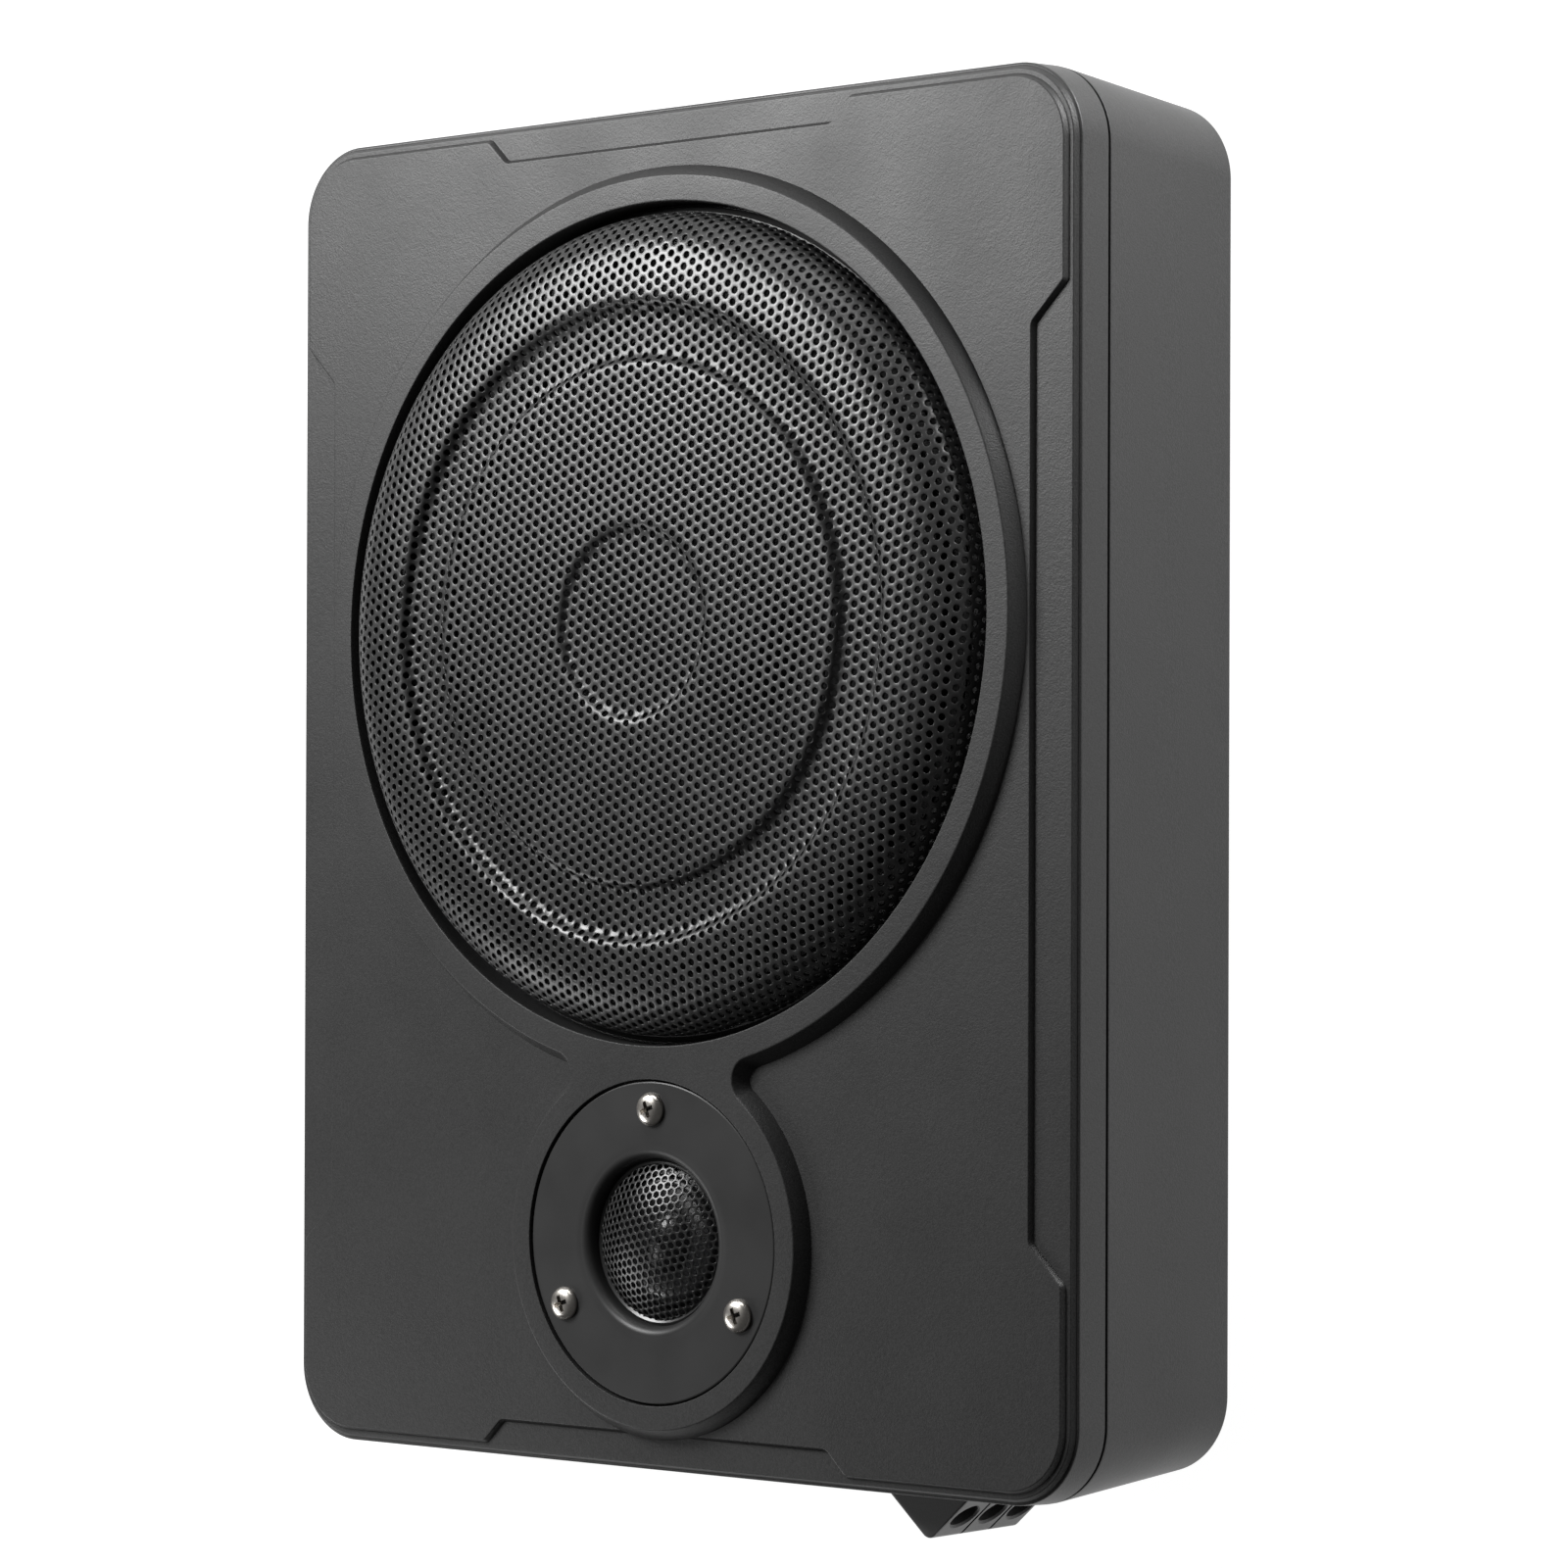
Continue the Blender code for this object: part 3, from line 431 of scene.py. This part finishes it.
def cover_shell():
    """The front shell: stepped rim, notched plateau, figure-8 ring, woofer opening and tweeter recess."""
    bm = bmesh.new()
    bottom = (COVER_BOTTOM - RIM_Z) / MM

    def rings_of(kind, profile):
        """Strips between the rings of a kind at each (growth or radius, height over the rim), in mm."""
        made = [ring(bm, kind(grow * MM, RIM_Z + z * MM)) for grow, z in profile]
        for low, high in zip(made, made[1:]):
            strip(bm, low, high)
        return made

    def case_ring(grow, z):
        return outline(CASE_CORNERS, grow, z)

    def plateau_ring(grow, z):
        return outline(plateau_corners(), grow, z)

    def woofer_ring(radius, z):
        return circle(radius, z, WOOFER, 192)

    def tweeter_ring(radius, z):
        return circle(radius, z, TWEETER, 128)

    side = [(-3, ROOF), (-3, bottom), (-0.5, bottom), (-0.15, bottom + 0.12), (0, bottom + 0.45)]
    side += [(-0.5, -0.6), (-0.56, -0.32), (-0.7, -0.12), (-0.95, 0), (-1.22, 0), (-1.3, 0.03)]
    side += [(-2.0, 1.06), (-2.08, 1.2), (-2.2, 1.28), (-2.4, 1.3)]
    case_rings = rings_of(case_ring, side)
    wall = [(0, 1.3), (-0.7, 2.36), (-0.78, 2.5), (-0.9, 2.58), (-1.1, PLATEAU_RISE)]
    plateau_rings = rings_of(plateau_ring, wall)
    slope = [(2.8, 0.9), (2.8, PLATEAU_RISE), (0.28, 5.95), (0.15, 6.2), (-0.05, 6.35), (-0.35, RING_RISE)]
    eight_rings = rings_of(figure_eight, slope)
    mouth = [(MOUTH + 0.5, RING_RISE), (MOUTH + 0.2, 6.32), (MOUTH + 0.05, 6.1), (MOUTH, 5.8), (MOUTH, -2)]
    mouth += [(GRILLE_SEAT, -2), (GRILLE_SEAT, -5.2), (CLAMP_RING, -5.2), (CLAMP_RING, ROOF)]
    woofer_rings = rings_of(woofer_ring, mouth)
    recess = [(PLATE_RECESS + 0.3, RING_RISE), (PLATE_RECESS + 0.1, 6.33), (PLATE_RECESS, 6.15)]
    recess += [(PLATE_RECESS, 3.4), (TWEETER_HOLE, 3.4), (TWEETER_HOLE, ROOF)]
    tweeter_rings = rings_of(tweeter_ring, recess)
    fill(bm, case_rings[-1], plateau_rings[0])
    # The figure-8 ring is a slab that overlaps the plateau, which stops out of sight under it.
    under_ring = [
        ring(bm, circle((radius + margin) * MM, PLATEAU_Z, at, 96))
        for radius, margin, at in ((MOUTH, 1.5, WOOFER), (PLATE_RECESS, 1, TWEETER))
    ]
    fill(bm, plateau_rings[-1], *under_ring)
    fill(bm, eight_rings[-1], woofer_rings[0], tweeter_rings[0])
    fill(bm, case_rings[0], woofer_rings[-1], tweeter_rings[-1])
    cover = even_normals(finish_mesh("front_cover_shell", bm, PAINT, merge=False, sharp=38))
    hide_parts("front_cover")


def block_mesh(low, high):
    """A plain box to cut with."""
    bm = bmesh.new()
    bmesh.ops.create_cube(bm, size=1)
    size = Vector(high) - Vector(low)
    place = Matrix.Translation((Vector(low) + Vector(high)) / 2) @ Matrix.Diagonal((*size, 1))
    bmesh.ops.transform(bm, matrix=place, verts=bm.verts)
    return finish_mesh("cutter", bm, BLACK, body=None)


def rod_mesh(radius, bottom, top, at, segments=32):
    """A plain upright cylinder to cut with."""
    bm = bmesh.new()
    centre = Vector((at[0], at[1], 0))
    low, high = (ring(bm, circle(radius, z, centre, segments)) for z in (bottom, top))
    strip(bm, low, high)
    bm.faces.new(low)
    bm.faces.new(high)
    return finish_mesh("cutter", bm, BLACK, body=None)


def housing_shell():
    """The drafted tray behind the cover, with its windows, foot pockets and screw holes."""
    low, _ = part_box("rear_housing")
    seam, slack = 0.7 * MM, 0.3 * MM
    top = COVER_BOTTOM - seam
    edge = 1.4 * MM
    bm = bmesh.new()
    rings = []

    def add(grow, z, share=0.0):
        """A ring at height z, drafted by its share of the whole draft."""
        half_x, half_y = WIDTH / 2 - share * SIDE_DRAFT, LENGTH / 2 - share * END_DRAFT
        tray = [(sx * half_x, sy * half_y, CORNER) for sx, sy in QUARTERS]
        rings.append(ring(bm, outline(tray, grow, z)))

    add(-8 * MM, low.z, 1)
    for r, z in arc((0, 0), edge, 270, 360, 8):
        add(r - edge, low.z + edge + z, 1)
    add(-0.02 * MM, top - 0.4 * MM)
    add(-0.14 * MM, top - 0.1 * MM)
    add(-0.45 * MM, top)
    add(-WALL, top)
    add(-WALL, low.z + WALL, 1)
    for below, above in zip(rings, rings[1:]):
        strip(bm, below, above)
    fill(bm, rings[0])
    fill(bm, rings[-1])
    shell = finish_mesh("rear_housing_shell", bm, PAINT)
    cutters = []
    for node, inset in (("control_panel", 0), ("terminal_block", 1 * MM)):
        start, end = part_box(node)
        cutters.append(block_mesh(
            (start.x - slack + inset, start.y - 10 * MM, start.z - slack),
            (end.x + slack - inset, CASE.y - LENGTH / 2 + 12 * MM, end.z + slack),
        ))
    for k in range(1, 5):
        cutters.append(rod_mesh(FOOT_POCKET, -MM, FOOT_POCKET_TOP, middle(f"foot_{k}"), 48))
    for k in range(1, 7):
        cutters.append(rod_mesh(SCREW_HOLE, -MM, SCREW_HOLE_TOP, middle(f"case_screw_{k}")))
    settle(shell, *cutters)
    even_normals(shell)
    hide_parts("rear_housing")


# ---------------------------------------------------------------- perforated sheets


def profile_point(profile, lengths, s):
    """(radius, height) at arc length s along a profile from its middle outwards."""
    s = min(max(s, 0), lengths[-1])
    k = int(np.searchsorted(lengths, s, side="right")) - 1
    k = min(max(k, 0), len(profile) - 2)
    t = (s - lengths[k]) / max(lengths[k + 1] - lengths[k], 1e-12)
    return profile[k] + (profile[k + 1] - profile[k]) * t


def perforated(name, profile, pitch, hole, thickness, lean, material, centre, roll=0.16):
    """A pressed sheet of round holes in a triangular pattern, wrapped along a turned profile.

    Rows lean by the angle lean in degrees. Each hole's edge rolls over into the sheet, over roll times
    its radius. The sheet is made of hexagons, one round each hole."""
    sides = 12
    rolled = [(1 + roll, 0.0), (1 + roll * 0.45, roll * 0.2), (1 + roll * 0.1, roll * 0.6), (1, roll * 1.1)]
    bore = [(hole * grow, hole * drop) for grow, drop in rolled] + [(hole, thickness)]
    profile = np.array(profile)
    steps = np.hypot(*np.diff(profile, axis=0).T)
    lengths = np.concatenate([[0], np.cumsum(steps)])
    reach = lengths[-1]
    slopes = np.gradient(profile[:, 1], lengths)
    up = pitch * sqrt(3) / 2
    turn = complex(cos(radians(lean)), sin(radians(lean)))
    count = int(reach / up) + 3
    corner = pitch / sqrt(3)
    verts, index, faces = [], {}, []

    def place(point, drop):
        s, a = abs(point), atan2(point.imag, point.real)
        radius, height = profile_point(profile, lengths, s)
        slope = float(np.interp(s, lengths, slopes))
        flat = sqrt(max(0.0, 1 - slope * slope))
        radius, height = radius + drop * slope, height - drop * flat
        return (centre.x + radius * cos(a), centre.y + radius * sin(a), height)

    def vertex(point, drop, shared):
        key = (round(point.real / MM, 3), round(point.imag / MM, 3), drop)
        if shared and key in index:
            return index[key]
        verts.append(place(point, drop))
        index[key] = len(verts) - 1
        return len(verts) - 1

    for row in range(-count, count + 1):
        for column in range(-count, count + 1):
            spot = complex((column + (row % 2) / 2) * pitch, row * up) * turn
            if abs(spot) > reach - pitch / 2:
                continue
            hexagon, rings = [], [[] for _ in bore]
            for k in range(6):
                a = pi / 6 + k * pi / 3
                hexagon.append(vertex(spot + corner * complex(cos(a), sin(a)) * turn, 0, True))
            for k in range(sides):
                a = pi / 6 + 2 * pi * (k - 0.5) / sides
                way = complex(cos(a), sin(a)) * turn
                for circle_points, (radius, drop) in zip(rings, bore):
                    circle_points.append(vertex(spot + radius * way, drop, False))
            rim = rings[0]
            for k in range(6):
                first = 2 * k
                here, later = hexagon[k], hexagon[(k + 1) % 6]
                faces.append((here, rim[(first + 1) % sides], rim[first]))
                faces.append((here, later, rim[(first + 2) % sides], rim[(first + 1) % sides]))
            for upper, lower in zip(rings, rings[1:]):
                for k in range(sides):
                    j = (k + 1) % sides
                    faces.append((upper[k], upper[j], lower[j], lower[k]))
    mesh = bpy.data.meshes.new(name)
    mesh.from_pydata(verts, [], faces)
    mesh.materials.append(material)
    mesh.shade_smooth()
    obj = bpy.data.objects.new(name, mesh)
    bpy.context.scene.collection.objects.link(obj)
    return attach(obj, "chassis")


def smooth_profile(points, rounds=2):
    """Rounds the corners of a profile by cutting them repeatedly."""
    for _ in range(rounds):
        cut = [points[0]]
        for (r0, z0), (r1, z1) in zip(points, points[1:]):
            cut.append((r0 * 0.75 + r1 * 0.25, z0 * 0.75 + z1 * 0.25))
            cut.append((r0 * 0.25 + r1 * 0.75, z0 * 0.25 + z1 * 0.75))
        cut.append(points[-1])
        points = cut
    return points


def woofer_grille():
    """The dished grille: crown, round channel and sunk middle, on a rolled flange."""
    disc = [(0, 77), (22.4, 77), (23.4, 77.1), (24.4, 78.3), (26, 78.4), (63.5, 78.1), (65.6, 78)]
    channel = [(66.6, 76.2), (68, 75.8), (77.4, 75.8), (79, 76.2), (80.2, 77.9)]
    crown = [(82, 78.1), (90, 77.6), (96.5, 76), (101.2, 72.6), (103.4, 68.5), (103.9, 64)]
    profile = mm(smooth_profile(disc + channel + crown))
    pitch, hole, thickness, lean = 3 * MM, 0.9 * MM, 0.8 * MM, 21
    sheet = perforated("woofer_grille_sheet", profile, pitch, hole, thickness, lean, GRILLE, WOOFER)
    flange = [(103.2, 65.4), (103.9, 65.2), (104.3, 64.6), (104.9, 64.2), (105.3, 63.6), (105.3, 62.4)]
    flange += [(103.2, 62.4)]
    rim = turned("woofer_grille_rim", mm(flange), GRILLE, Vector((WOOFER.x, WOOFER.y, 0)), segments=192)
    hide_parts("woofer_grille")


# ---------------------------------------------------------------- tweeter


def tweeter_front():
    """Faceplate with a rolled edge into the well, the mesh dome, and three pan-head screws."""
    axis = Vector((TWEETER.x, TWEETER.y, 0))
    plate = [(21, 62), (30, 62), (30, 67.7), (40.5, 67.7), (40.5, 69.4), (40.42, 69.62)]
    plate += [(40.2, 69.75), (40, 69.8), (25.5, 69.8), (24.3, 69.76)]
    plate += arc((23.6, 67.2), 2.5, 84, 180, 14) + [(20.9, 65)]
    piece = turned("tweeter_faceplate_front", mm(plate), PLATE, axis, segments=160)
    even_normals(piece)
    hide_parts("tweeter_faceplate")
    radius, rise, base = 19.8 * MM, 5.8 * MM, 66.4 * MM
    ball = (radius**2 + rise**2) / (2 * rise)
    steps = 24
    dome = []
    for k in range(steps + 1):
        r = radius * k / steps
        dome.append((r, base + sqrt(ball**2 - r**2) - (ball - rise)))
    dome += [(radius * 1.01, base - 1.2 * MM)]
    pitch, hole, thickness, lean = 2.25 * MM, 0.84 * MM, 0.35 * MM, 12
    sheet = perforated("tweeter_mesh_sheet", dome, pitch, hole, thickness, lean, MESH, TWEETER, 0.12)
    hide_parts("tweeter_mesh")
    band = [(19.5, 66.2), (20.3, 66.6), (20.9, 66.2), (20.9, 64.8), (19.5, 64.8)]
    turned("tweeter_mesh_rim", mm(band), MESH, axis)
    for k in range(1, 4):
        pan_head(f"tweeter_screw_{k}", 4.25, 69.8, 2.05)


def pan_head(node, radius, seat, rise):
    """A pan head with a cross recess over a plain shank, standing for the node's screw.

    The head's radius, its seat's height and its own height are in millimetres."""
    at = middle(node)
    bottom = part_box(node)[0].z / MM
    head = [(0, bottom), (1.5, bottom), (1.6, bottom + 0.3), (1.6, seat - 0.1), (radius * 0.98, seat - 0.1)]
    head += [(radius, seat + rise * 0.12), (radius * 0.985, seat + rise * 0.3)]
    head += [(radius * 0.93, seat + rise * 0.52), (radius * 0.82, seat + rise * 0.74)]
    head += [(radius * 0.64, seat + rise * 0.9), (radius * 0.4, seat + rise * 0.975), (0, seat + rise)]
    screw = turned(f"{node}_head", mm(head), NICKEL, Vector((at.x, at.y, 0)), segments=64, closed=False)
    wide, thin, deep = radius * 1.1 * MM, 1.15 * MM, 2.6 * MM
    centre = Matrix.Translation((at.x, at.y, (seat + rise) * MM - deep * 0.3))
    cutters = []
    for turn in (20, 110):
        bm = bmesh.new()
        bmesh.ops.create_cube(bm, size=1)
        for v in bm.verts:
            taper = 1.0 if v.co.z > 0 else 0.62
            v.co = Vector((v.co.x * wide * taper, v.co.y * thin * (0.75 + 0.25 * taper), v.co.z * deep))
        bmesh.ops.transform(bm, matrix=centre @ Matrix.Rotation(radians(turn), 4, "Z"), verts=bm.verts)
        cutters.append(finish_mesh("cutter", bm, BLACK, body=None))
    settle(screw, *cutters)
    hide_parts(node)


def diaphragm():
    """The tweeter's coated silk dome behind its mesh."""
    axis = Vector((TWEETER.x, TWEETER.y, 0))
    silk = [(12.9, 56), (12.9, 61.9)] + arc((14.6, 61.9), 1.7, 180, 40, 6)
    silk += [(20.8, 62.2), (20.8, 62.8), (17, 64)]
    silk += arc((14.6, 62), 2.3, 20, 130, 6) + arc((0, 54.2), 12.2, 50, 88, 12)
    dome = turned("tweeter_dome_silk", mm(silk), SILK, axis, "tweeter_dome_body", segments=96, closed=False)
    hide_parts("tweeter_dome")


# ---------------------------------------------------------------- terminal


def prism(name, outline_points, bottom, top, material=BLACK):
    """An upright solid through (x, y) points."""
    bm = bmesh.new()
    low, high = (ring(bm, [(x, y, z) for x, y in outline_points]) for z in (bottom, top))
    strip(bm, low, high)
    fill(bm, low)
    fill(bm, high)
    return finish_mesh(name, bm, material, body=None)


def terminal():
    """The ridge of three ways, with wire mouths on one slope, clamp holes on the other, and grooves."""
    start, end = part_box("terminal_block")
    x, half = (start.x + end.x) / 2, (end.x - start.x) / 2
    tip, base, back = start.y, start.y + 11.7 * MM, end.y
    low, high = start.z, end.z
    tail, height = half - 1 * MM, base - tip
    slope = hypot(half, height)
    apex = 2.6 * MM
    corners = [(-tail, back, 0.5 * MM), (-tail, base, 0.05 * MM), (-half, base, 0.6 * MM)]
    corners += [(0, tip - apex * (slope / half - 1) * 0.55, apex), (half, base, 0.6 * MM)]
    corners += [(tail, base, 0.05 * MM), (tail, back, 0.5 * MM)]
    bm = bmesh.new()
    rings = []
    centre = Vector((x, 0, 0))
    for grow, z in ((-0.45, 0), (-0.12, 0.12), (0, 0.45)):
        rings.append(ring(bm, outline(corners, grow * MM, low + z * MM, centre, 8)))
    for grow, z in ((0, 0.45), (-0.12, 0.12), (-0.45, 0)):
        rings.append(ring(bm, outline(corners, grow * MM, high - z * MM, centre, 8)))
    for below, above in zip(rings, rings[1:]):
        strip(bm, below, above)
    fill(bm, rings[0])
    fill(bm, rings[-1])
    block = finish_mesh("terminal_ridge", bm, GREY)
    pitch = (high - low) / 3
    cutters = []
    foot, deep, out = base - 0.4 * MM, 1.2 * MM, half + 2 * MM
    reach = half - deep * slope / height
    chevron = [(x - out, foot), (x, tip - 3 * MM), (x + out, foot), (x + reach, foot)]
    chevron += [(x, tip + deep * slope / half), (x - reach, foot)]
    groove = 0.45 * MM
    for k in (1, 2):
        z = low + k * pitch
        cutters.append(prism("cutter", chevron, z - groove, z + groove))
    wire_in = Vector((-height, half, 0)) / slope
    screw_in = Vector((height, half, 0)) / slope
    for k in range(3):
        z = low + (k + 0.5) * pitch
        for side, way, radius, depth in ((1, wire_in, 4, 15), (-1, screw_in, 2.6, 8.8)):
            mouth = Vector((x + side * half / 2, (base + tip) / 2, z))
            bore = [(0, -3), (radius + 3.3, -3), (radius + 0.3, 0), (radius, 0.35), (radius, depth)]
            bore += [(0, depth)]
            turn = way.to_track_quat("Z", "Y").to_matrix()
            cutters.append(turned("cutter", mm(bore), BLACK, mouth, None, 48, closed=False, turn=turn))
    settle(block, *cutters)
    even_normals(block)
    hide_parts("terminal_block")


# ---------------------------------------------------------------- controls


OUT_OF_PANEL = Matrix.Rotation(radians(90), 3, "X")


def foot_of(node):
    """The middle of the face by which a control stands on the panel."""
    at = middle(node)
    return Vector((at.x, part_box(node)[1].y, at.z))


def knob(node, body):
    """A fluted knob with a white pointer line, facing -Y."""
    low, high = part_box(node)
    length = (high.y - low.y) / MM
    bm = bmesh.new()
    # Each ring of the cap has a radius, a height and its share of the flutes' depth.
    profile = [(0, 0, 0), (1.5, 0, 0), (1.5, 6.4, 0), (5.6, 6.4, 0), (5.95, 6.7, 0.25)]
    profile += [(5.95, length - 1.8, 1), (5.6, length - 1.0, 0.8), (5.2, length - 0.5, 0.2)]
    profile += [(4.9, length - 0.42, 0), (4.2, length - 0.7, 0), (0, length - 0.75, 0)]
    flutes, flute_depth, count = 24, 0.3, 144
    turns = [2 * pi * i / count for i in range(count)]
    rings = []
    for radius, z, share in profile:
        depth = share * flute_depth
        sizes = [max(radius - depth * (0.5 + 0.5 * cos(flutes * a)) ** 2, 1e-4) for a in turns]
        rings.append(ring(bm, [(s * cos(a) * MM, s * sin(a) * MM, z * MM) for s, a in zip(sizes, turns)]))
    for lower, upper in zip(rings, rings[1:]):
        strip(bm, lower, upper)
    place = Matrix.Translation(foot_of(node)) @ OUT_OF_PANEL.to_4x4()
    bmesh.ops.transform(bm, matrix=place, verts=bm.verts)
    cap = finish_mesh(f"{node}_cap", bm, KNOB, body)
    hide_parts(node)
    half, long = 0.35 * MM, 3.4 * MM
    corners = [(-half, 0), (half, 0), (half, long), (-half, long)]
    line = prism(f"{node}_pointer", corners, 0, 0.3 * MM, WHITE)
    line.data.transform(place @ Matrix.Translation((0, 1.2 * MM, (length - 0.95) * MM)))
    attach(line, body)


def rca(node, ring_material):
    """A gold-plated socket: flange, barrel, coloured insulator and a hollow contact."""
    at = foot_of(node)
    flange = [(3.3, 0), (5.6, 0), (5.6, 1.2), (5.4, 1.4), (4.2, 1.5)]
    barrel = [(4.15, 7.3), (4, 7.5), (3.5, 7.5), (3.4, 7.3), (3.3, 3)]
    shell = turned(f"{node}_shell", mm(flange + barrel), GOLD, at, turn=OUT_OF_PANEL, segments=64)
    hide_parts(node)
    collar = [(1.7, 0.2), (3.35, 0.2), (3.35, 6.6), (1.9, 6.6), (1.75, 6.45)]
    insulator = turned(f"{node}_insulator", mm(collar), ring_material, at, turn=OUT_OF_PANEL, segments=64)
    tube = [(1.3, 1), (1.72, 1), (1.72, 6.2), (1.3, 6.2)]
    contact = turned(f"{node}_contact", mm(tube), GOLD, at, turn=OUT_OF_PANEL, segments=48)


def pins(name, node, columns, rows, gap, size):
    """A grid of square contact pins standing in a socket."""
    foot = foot_of(node)
    bm = bmesh.new()
    for i in range(columns):
        for j in range(rows):
            offset = Vector(((i - (columns - 1) / 2) * gap, -3 * MM, (j - (rows - 1) / 2) * gap))
            place = Matrix.Translation(foot + offset) @ Matrix.Diagonal((size, 4 * MM, size, 1))
            bmesh.ops.create_cube(bm, size=1, matrix=place)
    finish_mesh(name, bm, GOLD, merge=False)


def soften(node, width):
    """Rounds a carried-over CAD node's edges a little."""
    obj = frame["nodes"][node]
    weld = obj.modifiers.new("weld", "WELD")
    weld.merge_threshold = 0.001 * MM
    bevel = obj.modifiers.new("soften", "BEVEL")
    bevel.width, bevel.segments, bevel.limit_method, bevel.angle_limit = width, 2, "ANGLE", radians(50)
    bevel.harden_normals = True


def controls():
    for node in ("gain_knob", "crossover_knob", "bass_boost_knob"):
        knob(node, f"{node}_body")
    rca("rca_socket_left", WHITE)
    rca("rca_socket_right", RED)
    pins("high_level_pins", "high_level_socket", 4, 2, 2.6 * MM, 0.7 * MM)
    pins("remote_pins", "remote_port", 3, 1, 2.5 * MM, 0.6 * MM)
    for node in ("control_panel", "high_level_socket", "remote_port", "fuse_holder", "fuse", "phase_switch"):
        soften(node, 0.25 * MM)


# ---------------------------------------------------------------- carried-over nodes


def clothe():
    """Gives every CAD node the procedural material of its slot."""
    for part in frame["record"]["subparts"]:
        obj = frame["nodes"][part["node"]]
        for place in obj.material_slots:
            place.link = "OBJECT"
            place.material = LOOKS[part["material_slot"]]


# ---------------------------------------------------------------- stage


def stage():
    """A white floor, three softboxes with a strip for the long side, and the camera."""
    pale = bpy.data.materials.new("pale_floor")
    pale.use_nodes = True
    shader = pale.node_tree.nodes["Principled BSDF"]
    shader.inputs["Base Color"].default_value = (0.2, 0.2, 0.2, 1)
    shader.inputs["Roughness"].default_value = 0.9
    shader.inputs["Specular IOR Level"].default_value = 0.1
    shader.inputs["Emission Color"].default_value = (1, 1, 1, 1)
    shader.inputs["Emission Strength"].default_value = 0.98
    bm = bmesh.new()
    bmesh.ops.create_grid(bm, x_segments=1, y_segments=1, size=6)
    finish_mesh("floor", bm, pale, body=None)

    def area(name, at, towards, size, power):
        light = bpy.data.lights.new(name, "AREA")
        light.shape, light.size, light.size_y, light.energy = "RECTANGLE", size[0], size[1], power
        obj = bpy.data.objects.new(name, light)
        obj.location = at
        obj.rotation_mode = "QUATERNION"
        obj.rotation_quaternion = (Vector(towards) - Vector(at)).to_track_quat("-Z", "Y")
        bpy.context.scene.collection.objects.link(obj)

    area("key_softbox", (-0.5, 0.44, 0.68), (0, 0.13, 0.05), (0.35, 0.35), 11)
    area("top_softbox", (-0.05, 0.85, 0.45), (0, 0.12, 0.05), (0.5, 0.3), 2.5)
    area("low_fill", (-0.72, -0.42, 0.42), (0, -0.14, 0.05), (0.3, 0.3), 1.8)
    area("side_strip", (0.32, 0.35, 0.035), (0.13, 0.12, 0.035), (0.12, 0.06), 1.7)

    world = bpy.data.worlds.new("studio")
    world.use_nodes = True
    world.node_tree.nodes["Background"].inputs["Color"].default_value = (1, 1, 1, 1)
    world.node_tree.nodes["Background"].inputs["Strength"].default_value = 0.06
    bpy.context.scene.world = world

    camera = bpy.data.cameras.new("camera")
    camera.lens, camera.sensor_width = 116.15, 36
    camera.shift_y = 0.05
    camera.clip_end = 20
    eye = bpy.data.objects.new("camera", camera)
    eye.location = (CASE.x + 0.8413, CASE.y - 0.0268, RIM_Z + 0.9594)
    eye.rotation_euler = (radians(0.53), radians(39.925), radians(0.247))
    bpy.context.scene.collection.objects.link(eye)
    bpy.context.scene.camera = eye
    bpy.context.scene.view_settings.view_transform = "Standard"


cover_shell()
housing_shell()
woofer_grille()
tweeter_front()
diaphragm()
terminal()
controls()
clothe()
stage()
